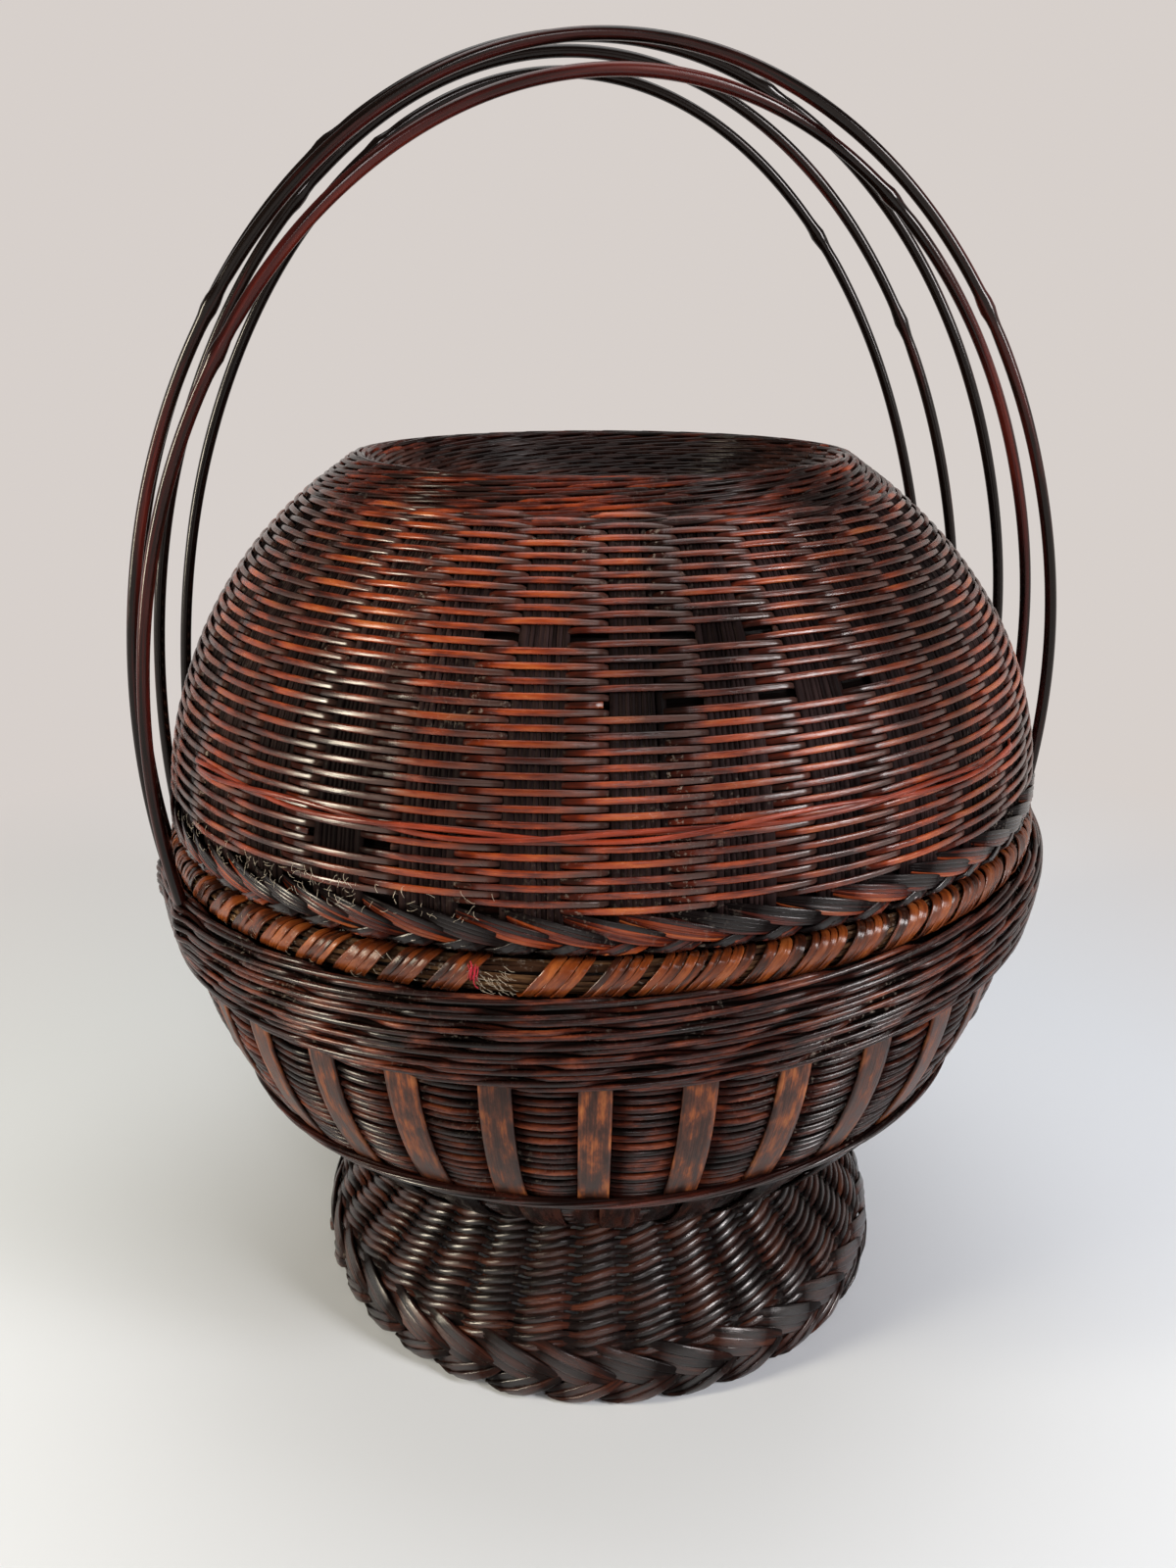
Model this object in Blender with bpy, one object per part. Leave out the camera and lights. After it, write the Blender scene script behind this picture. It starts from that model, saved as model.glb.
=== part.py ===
# Lidded bamboo basket on a flared foot, with an arched handle of five round canes.
# Metres, +Z up. The origin is on the ground under the middle of the foot, and the
# handle runs along X. The lid is a body of its own and lifts straight up.

from math import acos, asin, atan2, cos, pi, radians, sin, sqrt

import bmesh
import bpy
from mathutils import Matrix, Vector
import numpy as np

# Clearances
GAP = 0.0003                     # between pieces that touch on the real basket
OVERRUN = 0.003                  # how far a cutter stands out of what it cuts
MERGE_DISTANCE = 0.000001

# Foot
FOOT_HEIGHT = 0.0409             # ground to the bottom of the bowl
FOOT_SPREAD = 0.0285             # how far the border stands out past the bowl's bottom
FOOT_WALL = 0.0020               # thickness of the woven wall
FOOT_NECK_OUT = 0.0036           # how far the neck stands out past the bowl's bottom
FOOT_SWEEP_SHARE = 0.25          # how sharply the wall sweeps out, 0 is a straight cone
BORDER_WIDTH = 0.0110
BORDER_HEIGHT = 0.0212

# Bowl
BOWL_RADIUS = 0.1158             # outside of the woven wall at its widest
BOWL_DROP = 0.0868               # from the widest ring down to the bottom
BOWL_RISE = 0.0116               # from the widest ring up to the wall's top edge
BOWL_BOTTOM_SHARE = 0.49         # bottom radius over the widest radius
BOWL_WALL = 0.0020
BASE_THICK = 0.0018

# Flat slats over the bowl, their tie ring and the twined band that holds their tops
SLAT_WIDTH = 0.0070
SLAT_THICK = 0.0008
SLAT_TUCK = 0.0040               # length hidden under the twined band
SLAT_END_RISE = 0.0040           # lower end of the slats, above the bowl's bottom
TIE_RISE = 0.0388                # tie ring above the bowl's bottom
TIE_WIDTH = 0.0046
TIE_THICK = 0.0026
BAND_HEIGHT = 0.0201
BAND_THIN = 0.0026               # thickness of the band at its lower edge
BAND_RIDGE = 0.0008              # how far each twined row stands out
SLAT_COUNT = 33
BAND_ROWS = 6

# Rim: two bent hoops bound by one long strip of split cane
HOOP_THICK = 0.0018
HOOP_HEIGHT = 0.0054
HOOP_CHAMFER = 0.0005
LASHING_THICK = 0.0008
LASHING_WIDTH = 0.0120
LASHING_SLACK = 0.0006           # between the hoops and the strip
LASHING_LOOPS = 24

# Lid
LID_SEAT_GAP = 0.0004            # between the lashing and the lid's plaited edge
LID_BRAID_WIDTH = 0.0054
LID_BRAID_HEIGHT = 0.0070
LID_HEIGHT = 0.0808              # of the woven dome alone
LID_WALL = 0.0020
LID_TOP_SHARE = 0.574            # radius at the top over the radius at the edge
DOME_FULLNESS_SHARE = 1.85       # exponent of the dome's curve, 2 is an ellipse
ROLL_WIDTH = 0.0050               # rounded lip between the dome and the well
ROLL_HEIGHT = 0.0020
WELL_DEPTH = 0.0178
WELL_WALL = 0.0016
WELL_FLOOR_SHARE = 0.45          # flat part of the well, as a share of its mouth
COLLAR_WALL = 0.0014
COLLAR_DEPTH = 0.0075            # how far the collar reaches down past the lid's edge
COLLAR_CLEARANCE = 0.0010        # running clearance inside the rim
FLOAT_CANE_DIAMETER = 0.0018
FLOAT_CANE_RISE = 0.0179         # loose canes above the dome's edge
FLOAT_CANE_STEP = 0.0032         # between the two loose canes

# Handle
CANE_DIAMETER = 0.0032
HANDLE_RISE = 0.1916             # rim to crown of a middling cane
HANDLE_OUTSTAND = 0.0026         # how far the widest canes bow out past their ends
SOCKET_DEPTH = 0.0090            # how far a cane is pushed into the twined band
SOCKET_WALL = 0.0008
CANE_CLEARANCE = 0.0009          # between the canes and the lid that lifts past them
NODE_SWELL_SHARE = 1.32          # a bamboo node's radius over the cane's
NODE_REACH_SHARE = 1.6           # length of a node's taper, in cane diameters

# Each cane: where it enters the rim on the left and on the right, in degrees from +X,
# the height of its crown over the handle's rise, how much of the way it bows out from
# upright to the widest canes, and the places of its nodes as shares of its length
CANE_SHARES = (
    (182.0, -17.0, 0.999, 1.000, (0.27, 0.74)),
    (176.0, -0.3, 1.020, 1.000, (0.33, 0.66)),
    (168.0, 9.2, 1.019, 0.310, (0.30, 0.70)),
    (197.5, -7.2, 0.957, 1.000, (0.26, 0.71)),
    (160.0, 15.6, 1.007, 0.062, (0.36, 0.64)),
)

# The hand-made basket leans a little: its rim is lower on one side than on the other
LEAN_SHARE = 0.028               # rise of the rim over the way across it
LEAN_TURN = radians(-15.0)

# Facets
RING_FACETS = 40
CANE_POINTS = 27
CANE_SIDES = 8
FLOAT_SIDES = 5
FLOAT_POINTS = 20
BOWL_STATIONS = 11
DOME_STATIONS = 9
FOOT_STATIONS = 6
WELL_STATIONS = 5
LEAN_FOOT_SHARE = 0.45           # share of the bowl's drop over which the lean grows

# Heights and radii that follow from the sizes above
bowl_bottom_z = FOOT_HEIGHT + GAP
widest_z = bowl_bottom_z + BOWL_DROP
wall_top_z = widest_z + BOWL_RISE
bowl_semi = BOWL_DROP / sqrt(1 - BOWL_BOTTOM_SHARE ** 2)
wall_top_radius = BOWL_RADIUS * sqrt(1 - (BOWL_RISE / bowl_semi) ** 2)
bottom_radius = BOWL_RADIUS * BOWL_BOTTOM_SHARE
facet_cos = cos(pi / RING_FACETS)
side_cos = cos(pi / CANE_SIDES)

hoop_bottom_z = wall_top_z + GAP + LASHING_THICK + LASHING_SLACK
hoop_top_z = hoop_bottom_z + HOOP_HEIGHT
hoop_middle_z = (hoop_bottom_z + hoop_top_z) / 2
hoop_middle_radius = wall_top_radius - BOWL_WALL / 2 + HOOP_THICK / 2
lashing_out = HOOP_THICK + GAP / 2 + LASHING_SLACK + LASHING_THICK
lashing_top_z = hoop_top_z + LASHING_SLACK + LASHING_THICK
lashing_outer_radius = hoop_middle_radius + lashing_out
lashing_inner_radius = hoop_middle_radius - lashing_out

lid_bottom_z = lashing_top_z + LID_SEAT_GAP
dome_bottom_z = lid_bottom_z + LID_BRAID_HEIGHT + GAP
dome_top_z = dome_bottom_z + LID_HEIGHT
lid_braid_radius = lashing_outer_radius - LID_BRAID_WIDTH / 2
dome_radius = lid_braid_radius + LID_WALL / 2 + GAP
dome_top_radius = dome_radius * LID_TOP_SHARE
dome_semi = LID_HEIGHT / (1 - LID_TOP_SHARE ** 2) ** (1 / DOME_FULLNESS_SHARE)

cane_radius = CANE_DIAMETER / 2
cane_end_radius = lashing_outer_radius + CANE_CLEARANCE + cane_radius
band_inner_radius = (BOWL_RADIUS + GAP + SLAT_THICK + GAP) / facet_cos
band_outer_radius = cane_end_radius + (cane_radius + GAP) / side_cos + SOCKET_WALL
band_bottom_z = wall_top_z - BAND_HEIGHT

foot_radius = bottom_radius + FOOT_SPREAD
border_top_radius = foot_radius - BORDER_WIDTH * 0.55


def smooth_step(value):
    value = min(max(value, 0.0), 1.0)
    return value * value * (3 - 2 * value)


def lean(point):
    # Drop or rise of a point: none at the foot and the top, most at the rim
    grow = smooth_step((point.z - bowl_bottom_z) / (BOWL_DROP * LEAN_FOOT_SHARE))
    fade = 1 - smooth_step((point.z - dome_bottom_z) / LID_HEIGHT)
    along = point.x * cos(LEAN_TURN) + point.y * sin(LEAN_TURN)
    return Vector((point.x, point.y, point.z + LEAN_SHARE * along * grow * fade))


def make_material(name, colour, roughness):
    material = bpy.data.materials.new(name)
    material.use_nodes = True
    shader = material.node_tree.nodes["Principled BSDF"]
    shader.inputs["Base Color"].default_value = (*colour, 1.0)
    shader.inputs["Roughness"].default_value = roughness
    shader.inputs["Metallic"].default_value = 0.0
    material.diffuse_color = (*colour, 1.0)
    return material


def link(name, data, material):
    piece = bpy.data.objects.new(name, data)
    data.materials.append(material)
    bpy.context.scene.collection.objects.link(piece)
    return piece


def finish(name, bm, material, leans=True):
    # Lean the points, turn the faces outwards and make the object
    if leans:
        for vert in bm.verts:
            vert.co = lean(vert.co)
    bmesh.ops.recalc_face_normals(bm, faces=bm.faces)
    mesh = bpy.data.meshes.new(name)
    bm.to_mesh(mesh)
    bm.free()
    mesh.shade_smooth()
    mesh.set_sharp_from_angle(angle=radians(40))
    return link(name, mesh, material)


def turned(name, outline, material, closed=True):
    # A piece turned about +Z from its outline of (radius, height) points
    bm = bmesh.new()
    verts = [bm.verts.new((radius, 0.0, height)) for radius, height in outline]
    edges = [bm.edges.new(pair) for pair in zip(verts, verts[1:])]
    if closed:
        edges.append(bm.edges.new((verts[-1], verts[0])))
    bmesh.ops.spin(bm, geom=verts + edges, cent=(0, 0, 0), axis=(0, 0, 1), dvec=(0, 0, 0),
                   angle=2 * pi, steps=RING_FACETS, use_merge=True, use_duplicate=False)
    bmesh.ops.remove_doubles(bm, verts=bm.verts, dist=MERGE_DISTANCE)
    return finish(name, bm, material)


def offset(outline, distance, level_ends=False):
    # The same outline, moved out along its own normals; outlines run upwards.
    # Level ends stay at their own height
    points = [Vector(point) for point in outline]
    moved = []
    for index, point in enumerate(points):
        before = points[max(index - 1, 0)]
        after = points[min(index + 1, len(points) - 1)]
        first = (point - before) if index else (after - point)
        second = (after - point) if index < len(points) - 1 else first
        normal_a = Vector((first.y, -first.x)).normalized()
        normal_b = Vector((second.y, -second.x)).normalized()
        middle = (normal_a + normal_b).normalized()
        if level_ends and index in (0, len(points) - 1):
            moved.append((point.x + distance / middle.x, point.y))
        else:
            moved.append(tuple(point + middle * distance / middle.dot(normal_a)))
    return moved


def stretch(outline, low, high):
    # The part of an outline between two heights
    def at(height):
        for (r0, z0), (r1, z1) in zip(outline, outline[1:]):
            if z0 <= height <= z1:
                return (r0 + (r1 - r0) * (height - z0) / (z1 - z0), height)
        return outline[-1] if height > outline[-1][1] else outline[0]
    inside = [point for point in outline if low < point[1] < high]
    return [at(low)] + inside + [at(high)]


def height_at(outline, radius):
    # Height of an outline that widens upwards, at one radius
    for (r0, z0), (r1, z1) in zip(outline, outline[1:]):
        if r0 <= radius <= r1:
            return z0 + (z1 - z0) * (radius - r0) / (r1 - r0)
    return outline[0][1]


def ellipse_section(centre, half_wide, half_high, turn, points):
    # Section of a ring: an ellipse whose wide axis is turned up by an angle
    outline = []
    for index in range(points):
        angle = 2 * pi * (index + 0.5) / points
        along = half_wide * cos(angle)
        across = half_high * sin(angle)
        outline.append((centre[0] + along * cos(turn) - across * sin(turn),
                        centre[1] + along * sin(turn) + across * cos(turn)))
    return outline


def loft(sections, close_ends, close_loop=False):
    # Faces between sections that have the same number of points
    bm = bmesh.new()
    rings = [[bm.verts.new(point) for point in section] for section in sections]
    count = len(rings[0])
    pairs = list(zip(rings, rings[1:]))
    if close_loop:
        pairs.append((rings[-1], rings[0]))
    for one, two in pairs:
        for index in range(count):
            after = (index + 1) % count
            bm.faces.new((one[index], one[after], two[after], two[index]))
    if close_ends:
        bm.faces.new(rings[0])
        bm.faces.new(rings[-1])
    return bm


def around(radius, angle, height):
    return Vector((radius * cos(angle), radius * sin(angle), height))


def bowl_outline():
    # Outside of the woven bowl: a stretch of an ellipse, from the bottom to the rim
    low = -asin(BOWL_DROP / bowl_semi)
    high = asin(BOWL_RISE / bowl_semi)
    outline = []
    for index in range(BOWL_STATIONS):
        angle = low + (high - low) * index / (BOWL_STATIONS - 1)
        outline.append((BOWL_RADIUS * cos(angle), widest_z + bowl_semi * sin(angle)))
    return outline


def dome_outline():
    outline = []
    for index in range(DOME_STATIONS):
        share = sin(pi / 2 * index / (DOME_STATIONS - 1))
        height = LID_HEIGHT * share
        full = 1 - (height / dome_semi) ** DOME_FULLNESS_SHARE
        outline.append((dome_radius * sqrt(full), dome_bottom_z + height))
    return outline


def bezier(start, control, end, count):
    outline = []
    for index in range(count):
        t = index / (count - 1)
        weights = ((1 - t) ** 2, 2 * t * (1 - t), t * t)
        outline.append(tuple(sum(weight * point[axis] for weight, point
                                 in zip(weights, (start, control, end))) for axis in (0, 1)))
    return outline


# Sections of the plaited edges: how far out and how high each point is, as shares of
# the edge's width and height, how much it swells, and how far its strand has turned
FOOT_PLAIT_SHARES = (
    (0.00, 0.00, 0.0, 0.0), (0.94, 0.00, 0.0, 0.0), (1.00, 0.20, 1.0, 0.00),
    (0.96, 0.45, 1.0, 0.45), (0.82, 0.70, 1.0, 0.90), (0.62, 0.90, 0.8, 1.30),
    (0.36, 1.00, 0.0, 0.0), (0.14, 0.97, 0.0, 0.0), (0.00, 0.70, 0.0, 0.0),
)
LID_PLAIT_SHARES = (
    (0.15, 0.00, 0.0, 0.0), (0.85, 0.00, 0.0, 0.0), (1.00, 0.18, 0.7, 0.00),
    (1.00, 0.50, 1.0, 0.50), (0.92, 0.82, 0.9, 1.00), (0.70, 1.00, 0.0, 0.0),
    (0.15, 1.00, 0.0, 0.0), (0.00, 0.50, 0.0, 0.0),
)
FOOT_STRANDS = 26
LID_STRANDS = 28
STRAND_FACETS = 3
STRAND_DEPTH_SHARE = 0.16        # depth between two strands, over the edge's width


def make_foot(dark, plait):
    # The woven wall stands on the plaited border, inside its outer slope
    hem = (border_top_radius, BORDER_HEIGHT + GAP)
    neck_radius = bottom_radius + FOOT_NECK_OUT
    neck = (neck_radius, height_at(bowl_outline(), neck_radius - FOOT_WALL) - GAP)
    control = (hem[0] + (neck[0] - hem[0]) * (0.5 + FOOT_SWEEP_SHARE / 2),
               hem[1] + (neck[1] - hem[1]) * (0.5 - FOOT_SWEEP_SHARE / 2))
    outside = bezier(hem, control, neck, FOOT_STATIONS)
    inside = offset(outside, -FOOT_WALL, level_ends=True)
    turned("foot_wall", outside + inside[::-1], dark)
    plaited_ring("foot_border", foot_radius - BORDER_WIDTH, 0.0, BORDER_WIDTH,
                 BORDER_HEIGHT, FOOT_PLAIT_SHARES, FOOT_STRANDS, plait)


def plaited_ring(name, inner, bottom, width, height, shares, strands, material):
    # A plaited edge: slanted strands swell out of a ring that is flat underneath
    sections = []
    for step in range(strands * STRAND_FACETS):
        turn = 2 * pi * step / (strands * STRAND_FACETS)
        section = []
        for out, up, swell, slant in shares:
            wave = 0.5 - 0.5 * cos(strands * turn - slant * pi)
            sink = swell * wave * STRAND_DEPTH_SHARE * width
            section.append(around(inner + out * width - sink, turn, bottom + up * height))
        sections.append(section)
    return finish(name, loft(sections, close_ends=False, close_loop=True), material)


def make_bowl(weave, dark):
    outside = bowl_outline()
    inside = offset(outside, -BOWL_WALL, level_ends=True)[::2]
    turned("bowl_wall", outside + inside[::-1], weave)
    base_radius = inside[0][0] - GAP / facet_cos
    turned("bowl_base", [(0.0, bowl_bottom_z), (base_radius, bowl_bottom_z),
                         (base_radius, bowl_bottom_z + BASE_THICK),
                         (0.0, bowl_bottom_z + BASE_THICK)], dark, closed=False)
    return outside


def make_slats(bowl, slat_material, dark):
    ends = stretch(bowl, bowl_bottom_z + SLAT_END_RISE, band_bottom_z + SLAT_TUCK)
    under = offset(ends, GAP)
    over = offset(ends, GAP + SLAT_THICK)
    for index in range(SLAT_COUNT):
        angle = -pi / 2 + LEAN_TURN + 2 * pi * index / SLAT_COUNT
        out = Vector((cos(angle), sin(angle), 0.0))
        side = Vector((-sin(angle), cos(angle), 0.0)) * SLAT_WIDTH / 2
        sections = []
        for (r0, z0), (r1, z1) in zip(under, over):
            low = out * r0 + Vector((0, 0, z0))
            high = out * r1 + Vector((0, 0, z1))
            sections.append([low - side, low + side, high + side, high - side])
        finish(f"slat_{index + 1:02d}", loft(sections, close_ends=True), slat_material)

    # The tie ring lies over the slats, square to the bowl's surface
    tie_z = bowl_bottom_z + TIE_RISE
    below, above = stretch(bowl, tie_z - TIE_WIDTH / 2, tie_z + TIE_WIDTH / 2)[::len(
        stretch(bowl, tie_z - TIE_WIDTH / 2, tie_z + TIE_WIDTH / 2)) - 1]
    slope = atan2(above[1] - below[1], above[0] - below[0])
    sag = above[0] * (1 / facet_cos - 1)
    out = GAP + SLAT_THICK + GAP + sag + TIE_THICK / 2
    centre = ((below[0] + above[0]) / 2 + out * sin(slope),
              (below[1] + above[1]) / 2 - out * cos(slope))
    turned("slat_tie_ring",
           ellipse_section(centre, TIE_WIDTH / 2, TIE_THICK / 2, slope, 6), dark)


def cane_arch(shares):
    # A cane is a stretch of an ellipse bent through its two ends, in an upright plane
    left, right, crown_share, bow_share, _ = shares
    start = around(cane_end_radius, radians(left), wall_top_z)
    stop = around(cane_end_radius, radians(right), wall_top_z)
    middle = (start + stop) / 2
    along = (stop - start).normalized()
    upright = max(abs(start.x), abs(stop.x)) + cane_radius * along.x
    widest = cane_end_radius + cane_radius + HANDLE_OUTSTAND
    reach = upright + (widest - upright) * bow_share
    wide = (reach - abs(middle.x)) / along.x - cane_radius
    tuck = acos((stop - start).length / 2 / wide)
    rise = HANDLE_RISE * crown_share / (1 + sin(tuck))
    wide_z = wall_top_z + rise * sin(tuck)

    def at(angle):
        flat = middle + along * (-wide * cos(angle))
        return Vector((flat.x, flat.y, wide_z + rise * sin(angle)))
    return at, -tuck, pi + tuck, along


def cane_line(shares):
    # Points down one socket, over the arch and down the other, with each point's swell
    at, low, high, along = cane_arch(shares)
    nodes = shares[-1]
    step = (high - low) / (CANE_POINTS - 1)
    reach = CANE_DIAMETER * NODE_REACH_SHARE / HANDLE_RISE
    angles = [low + step * index for index in range(CANE_POINTS)]
    wide_places = (0.0, pi)
    swollen = [low + (high - low) * node for node in nodes]
    kept = [angle for angle in angles[1:-1]
            if min(abs(angle - place) for place in wide_places) > step / 2
            and min(abs(angle - place) for place in swollen) > reach * 1.4]
    tapers = [place + way * reach for place in swollen for way in (-1, 1)]
    stations = sorted([low, high] + kept + list(wide_places) + swollen + tapers)
    line = [at(angle) for angle in stations]
    swells = [NODE_SWELL_SHARE if angle in swollen else 1.0 for angle in stations]
    depth = SOCKET_DEPTH - GAP
    first = (line[0] - at(low + step / 100)).normalized()
    last = (line[-1] - at(high - step / 100)).normalized()
    line = [line[0] + first * depth] + line + [line[-1] + last * depth]
    return [lean(point) for point in line], [1.0] + swells + [1.0], along


def tube(name, line, radii, flat, sides, material):
    # A round cane along a line that lies in one plane or on a shallow curve
    sections = []
    for index, (point, radius) in enumerate(zip(line, radii)):
        before = line[max(index - 1, 0)]
        after = line[min(index + 1, len(line) - 1)]
        forward = (after - before).normalized()
        across = flat(point).cross(forward).normalized()
        over = forward.cross(across)
        section = []
        for side in range(sides):
            angle = 2 * pi * side / sides
            section.append(point + (across * cos(angle) + over * sin(angle)) * radius)
        sections.append(section)
    return finish(name, loft(sections, close_ends=True), material, leans=False)


def make_handle(cane_material):
    lines = []
    for number, shares in enumerate(CANE_SHARES, 1):
        line, swells, along = cane_line(shares)
        level = Vector((0, 0, 1)).cross(along)
        tube(f"handle_cane_{number}", line, [cane_radius * swell for swell in swells],
             lambda point, level=level: level, CANE_SIDES, cane_material)
        lines.append(line)
    least = min(least_distance(one, two) for index, one in enumerate(lines)
                for two in lines[index + 1:])
    print(f"handle: least gap between canes {1000 * (least - CANE_DIAMETER):.2f} mm")
    return lines


def fill(line, parts=8):
    # Closer points along a line
    points = []
    for one, two in zip(line, line[1:]):
        points += [one.lerp(two, part / parts) for part in range(parts)]
    return np.array(points + [line[-1]])


def least_distance(one, two):
    first, second = fill(one), fill(two)
    return float(np.sqrt(((first[:, None] - second[None]) ** 2).sum(-1)).min())


def make_band(weave, lines):
    # Twined band: rows of fine cane round the bowl, with a socket for each cane end
    lower = band_inner_radius + BAND_THIN
    outline = [(band_inner_radius, wall_top_z), (band_inner_radius, band_bottom_z)]
    for row in range(BAND_ROWS):
        for place, out in ((0.0, 0.0), (0.5, BAND_RIDGE)):
            share = (row + place) / BAND_ROWS
            radius = lower + (band_outer_radius - lower) * share + out
            outline.append((radius, band_bottom_z + BAND_HEIGHT * share))
    outline.append((band_outer_radius, wall_top_z))
    band = turned("twined_band", outline, weave)

    cutter = bmesh.new()
    for line in lines:
        for end, inner in ((line[0], line[1]), (line[-1], line[-2])):
            along = (inner - end).normalized()
            bottom = end - along * GAP
            top = inner + along * OVERRUN
            turn = Vector((0, 0, 1)).rotation_difference(along).to_matrix().to_4x4()
            place = Matrix.Translation((bottom + top) / 2) @ turn
            wide = (cane_radius + GAP) / side_cos
            bmesh.ops.create_cone(cutter, cap_ends=True, segments=CANE_SIDES, radius1=wide,
                                  radius2=wide, depth=(top - bottom).length, matrix=place)
    sockets = finish("socket_cutter", cutter, band.data.materials[0], leans=False)
    sockets.hide_render = True
    sockets.display_type = "WIRE"
    cut = band.modifiers.new("sockets", "BOOLEAN")
    cut.operation = "DIFFERENCE"
    cut.solver = "EXACT"
    cut.object = sockets


def make_rim(hoop_material, lashing_material):
    inner = hoop_middle_radius - GAP / 2
    outer = hoop_middle_radius + GAP / 2
    for name, near, far in (("rim_hoop_inner", inner, inner - HOOP_THICK),
                            ("rim_hoop_outer", outer, outer + HOOP_THICK)):
        side = 1 if far > near else -1
        turned(name, [(near, hoop_bottom_z), (far - side * HOOP_CHAMFER, hoop_bottom_z),
                      (far, hoop_bottom_z + HOOP_CHAMFER), (far, hoop_top_z - HOOP_CHAMFER),
                      (far - side * HOOP_CHAMFER, hoop_top_z), (near, hoop_top_z)],
               hoop_material)

    # One strip winds round both hoops, from one tucked end to the other
    half_wide = lashing_out - LASHING_THICK / 2
    half_high = HOOP_HEIGHT / 2 + LASHING_SLACK + LASHING_THICK / 2
    chamfer = HOOP_CHAMFER + LASHING_SLACK
    corners = []
    for across, up, first in ((1, 1, "up"), (-1, 1, "side"), (-1, -1, "up"), (1, -1, "side")):
        side_corner = (across * half_wide, up * (half_high - chamfer))
        top_corner = (across * (half_wide - chamfer), up * half_high)
        pair = [side_corner, top_corner] if first == "up" else [top_corner, side_corner]
        corners += pair
    sections = []
    steps = LASHING_LOOPS * len(corners)
    turn_whole = 2 * pi * (LASHING_LOOPS - 0.5) / LASHING_LOOPS
    for step in range(steps + 1):
        across, up = corners[step % len(corners)]
        before = corners[(step - 1) % len(corners)]
        after = corners[(step + 1) % len(corners)]
        path = Vector((after[0] - before[0], after[1] - before[1])).normalized()
        normal = Vector((path.y, -path.x))
        turn = turn_whole * step / steps
        side = Vector((-sin(turn), cos(turn), 0.0)) * LASHING_WIDTH / 2
        section = []
        for out, way in ((-1, -1), (-1, 1), (1, 1), (1, -1)):
            thick = out * LASHING_THICK / 2
            point = around(hoop_middle_radius + across + normal.x * thick, turn,
                           hoop_middle_z + up + normal.y * thick)
            section.append(point + side * way)
        sections.append(section)
    finish("rim_lashing", loft(sections, close_ends=True), lashing_material)

    loop = len(corners)
    points = np.array([[tuple(point) for point in section] for section in sections])
    least = min(float(np.linalg.norm(points[apart:, :, None] - points[:-apart, None, :],
                                     axis=-1).min()) for apart in range(3, loop * 2))
    print(f"rim lashing: {LASHING_LOOPS} loops in one strip, least gap to itself "
          f"{1000 * least:.2f} mm")


def make_lid(weave, plait, dark, float_material):
    outside = dome_outline()
    inside = offset(outside, -LID_WALL, level_ends=True)
    inside = [inside[0]] + inside[2:-1:2] + [inside[-1]]
    turned("lid_dome", outside + inside[::-1], weave)
    plaited_ring("lid_edge_braid", lashing_outer_radius - LID_BRAID_WIDTH, lid_bottom_z,
                 LID_BRAID_WIDTH, LID_BRAID_HEIGHT, LID_PLAIT_SHARES, LID_STRANDS, plait)

    # Rounded lip round the mouth of the well, and the sunk dish inside it
    roll_radius = dome_top_radius - ROLL_WIDTH / 2 - GAP
    roll_z = dome_top_z + GAP + ROLL_HEIGHT / 2
    turned("lid_top_roll", ellipse_section((roll_radius, roll_z), ROLL_WIDTH / 2,
                                           ROLL_HEIGHT / 2, 0.0, 8), plait)
    mouth = inside[-1][0] - GAP - WELL_WALL
    floor_z = dome_top_z - WELL_DEPTH
    control = (mouth * (WELL_FLOOR_SHARE + (1 - WELL_FLOOR_SHARE) / 3), floor_z)
    upper = bezier((mouth * WELL_FLOOR_SHARE, floor_z), control, (mouth, dome_top_z),
                   WELL_STATIONS)
    lower = offset(upper, WELL_WALL)
    lower[-1] = (mouth + WELL_WALL, dome_top_z)
    lower[0] = (lower[0][0], floor_z - WELL_WALL)
    turned("lid_well", [(0.0, floor_z)] + upper + lower[::-1] + [(0.0, floor_z - WELL_WALL)],
           dark, closed=False)

    # Collar: a short inner wall that drops inside the rim and centres the lid
    fit_radius = lashing_inner_radius - COLLAR_CLEARANCE
    flare_z = dome_bottom_z + COLLAR_WALL * 2
    bend_z = lid_bottom_z + LID_BRAID_HEIGHT / 4
    collar = [(fit_radius, lid_bottom_z - COLLAR_DEPTH), (fit_radius, bend_z),
              (stretch(inside, flare_z, dome_top_z)[0][0] - GAP, flare_z)]
    turned("lid_collar", collar + offset(collar, -COLLAR_WALL)[::-1], dark)

    # Two loose canes lie round the front of the dome
    for number in range(2):
        line = []
        for index in range(FLOAT_POINTS):
            share = index / (FLOAT_POINTS - 1)
            angle = radians(212 + number * 9 + (96 - number * 14) * share)
            height = dome_bottom_z + FLOAT_CANE_RISE + FLOAT_CANE_STEP * number
            height += FLOAT_CANE_STEP * cos(2 * pi * share) / 4
            radius = stretch(outside, height, dome_top_z)[0][0]
            out = GAP + FLOAT_CANE_DIAMETER / 2 + GAP
            line.append(lean(around(radius + out, angle, height)))
        tube(f"lid_float_cane_{number + 1}", line, [FLOAT_CANE_DIAMETER / 2] * len(line),
             lambda point: Vector((0, 0, 1)), FLOAT_SIDES, float_material)


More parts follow.
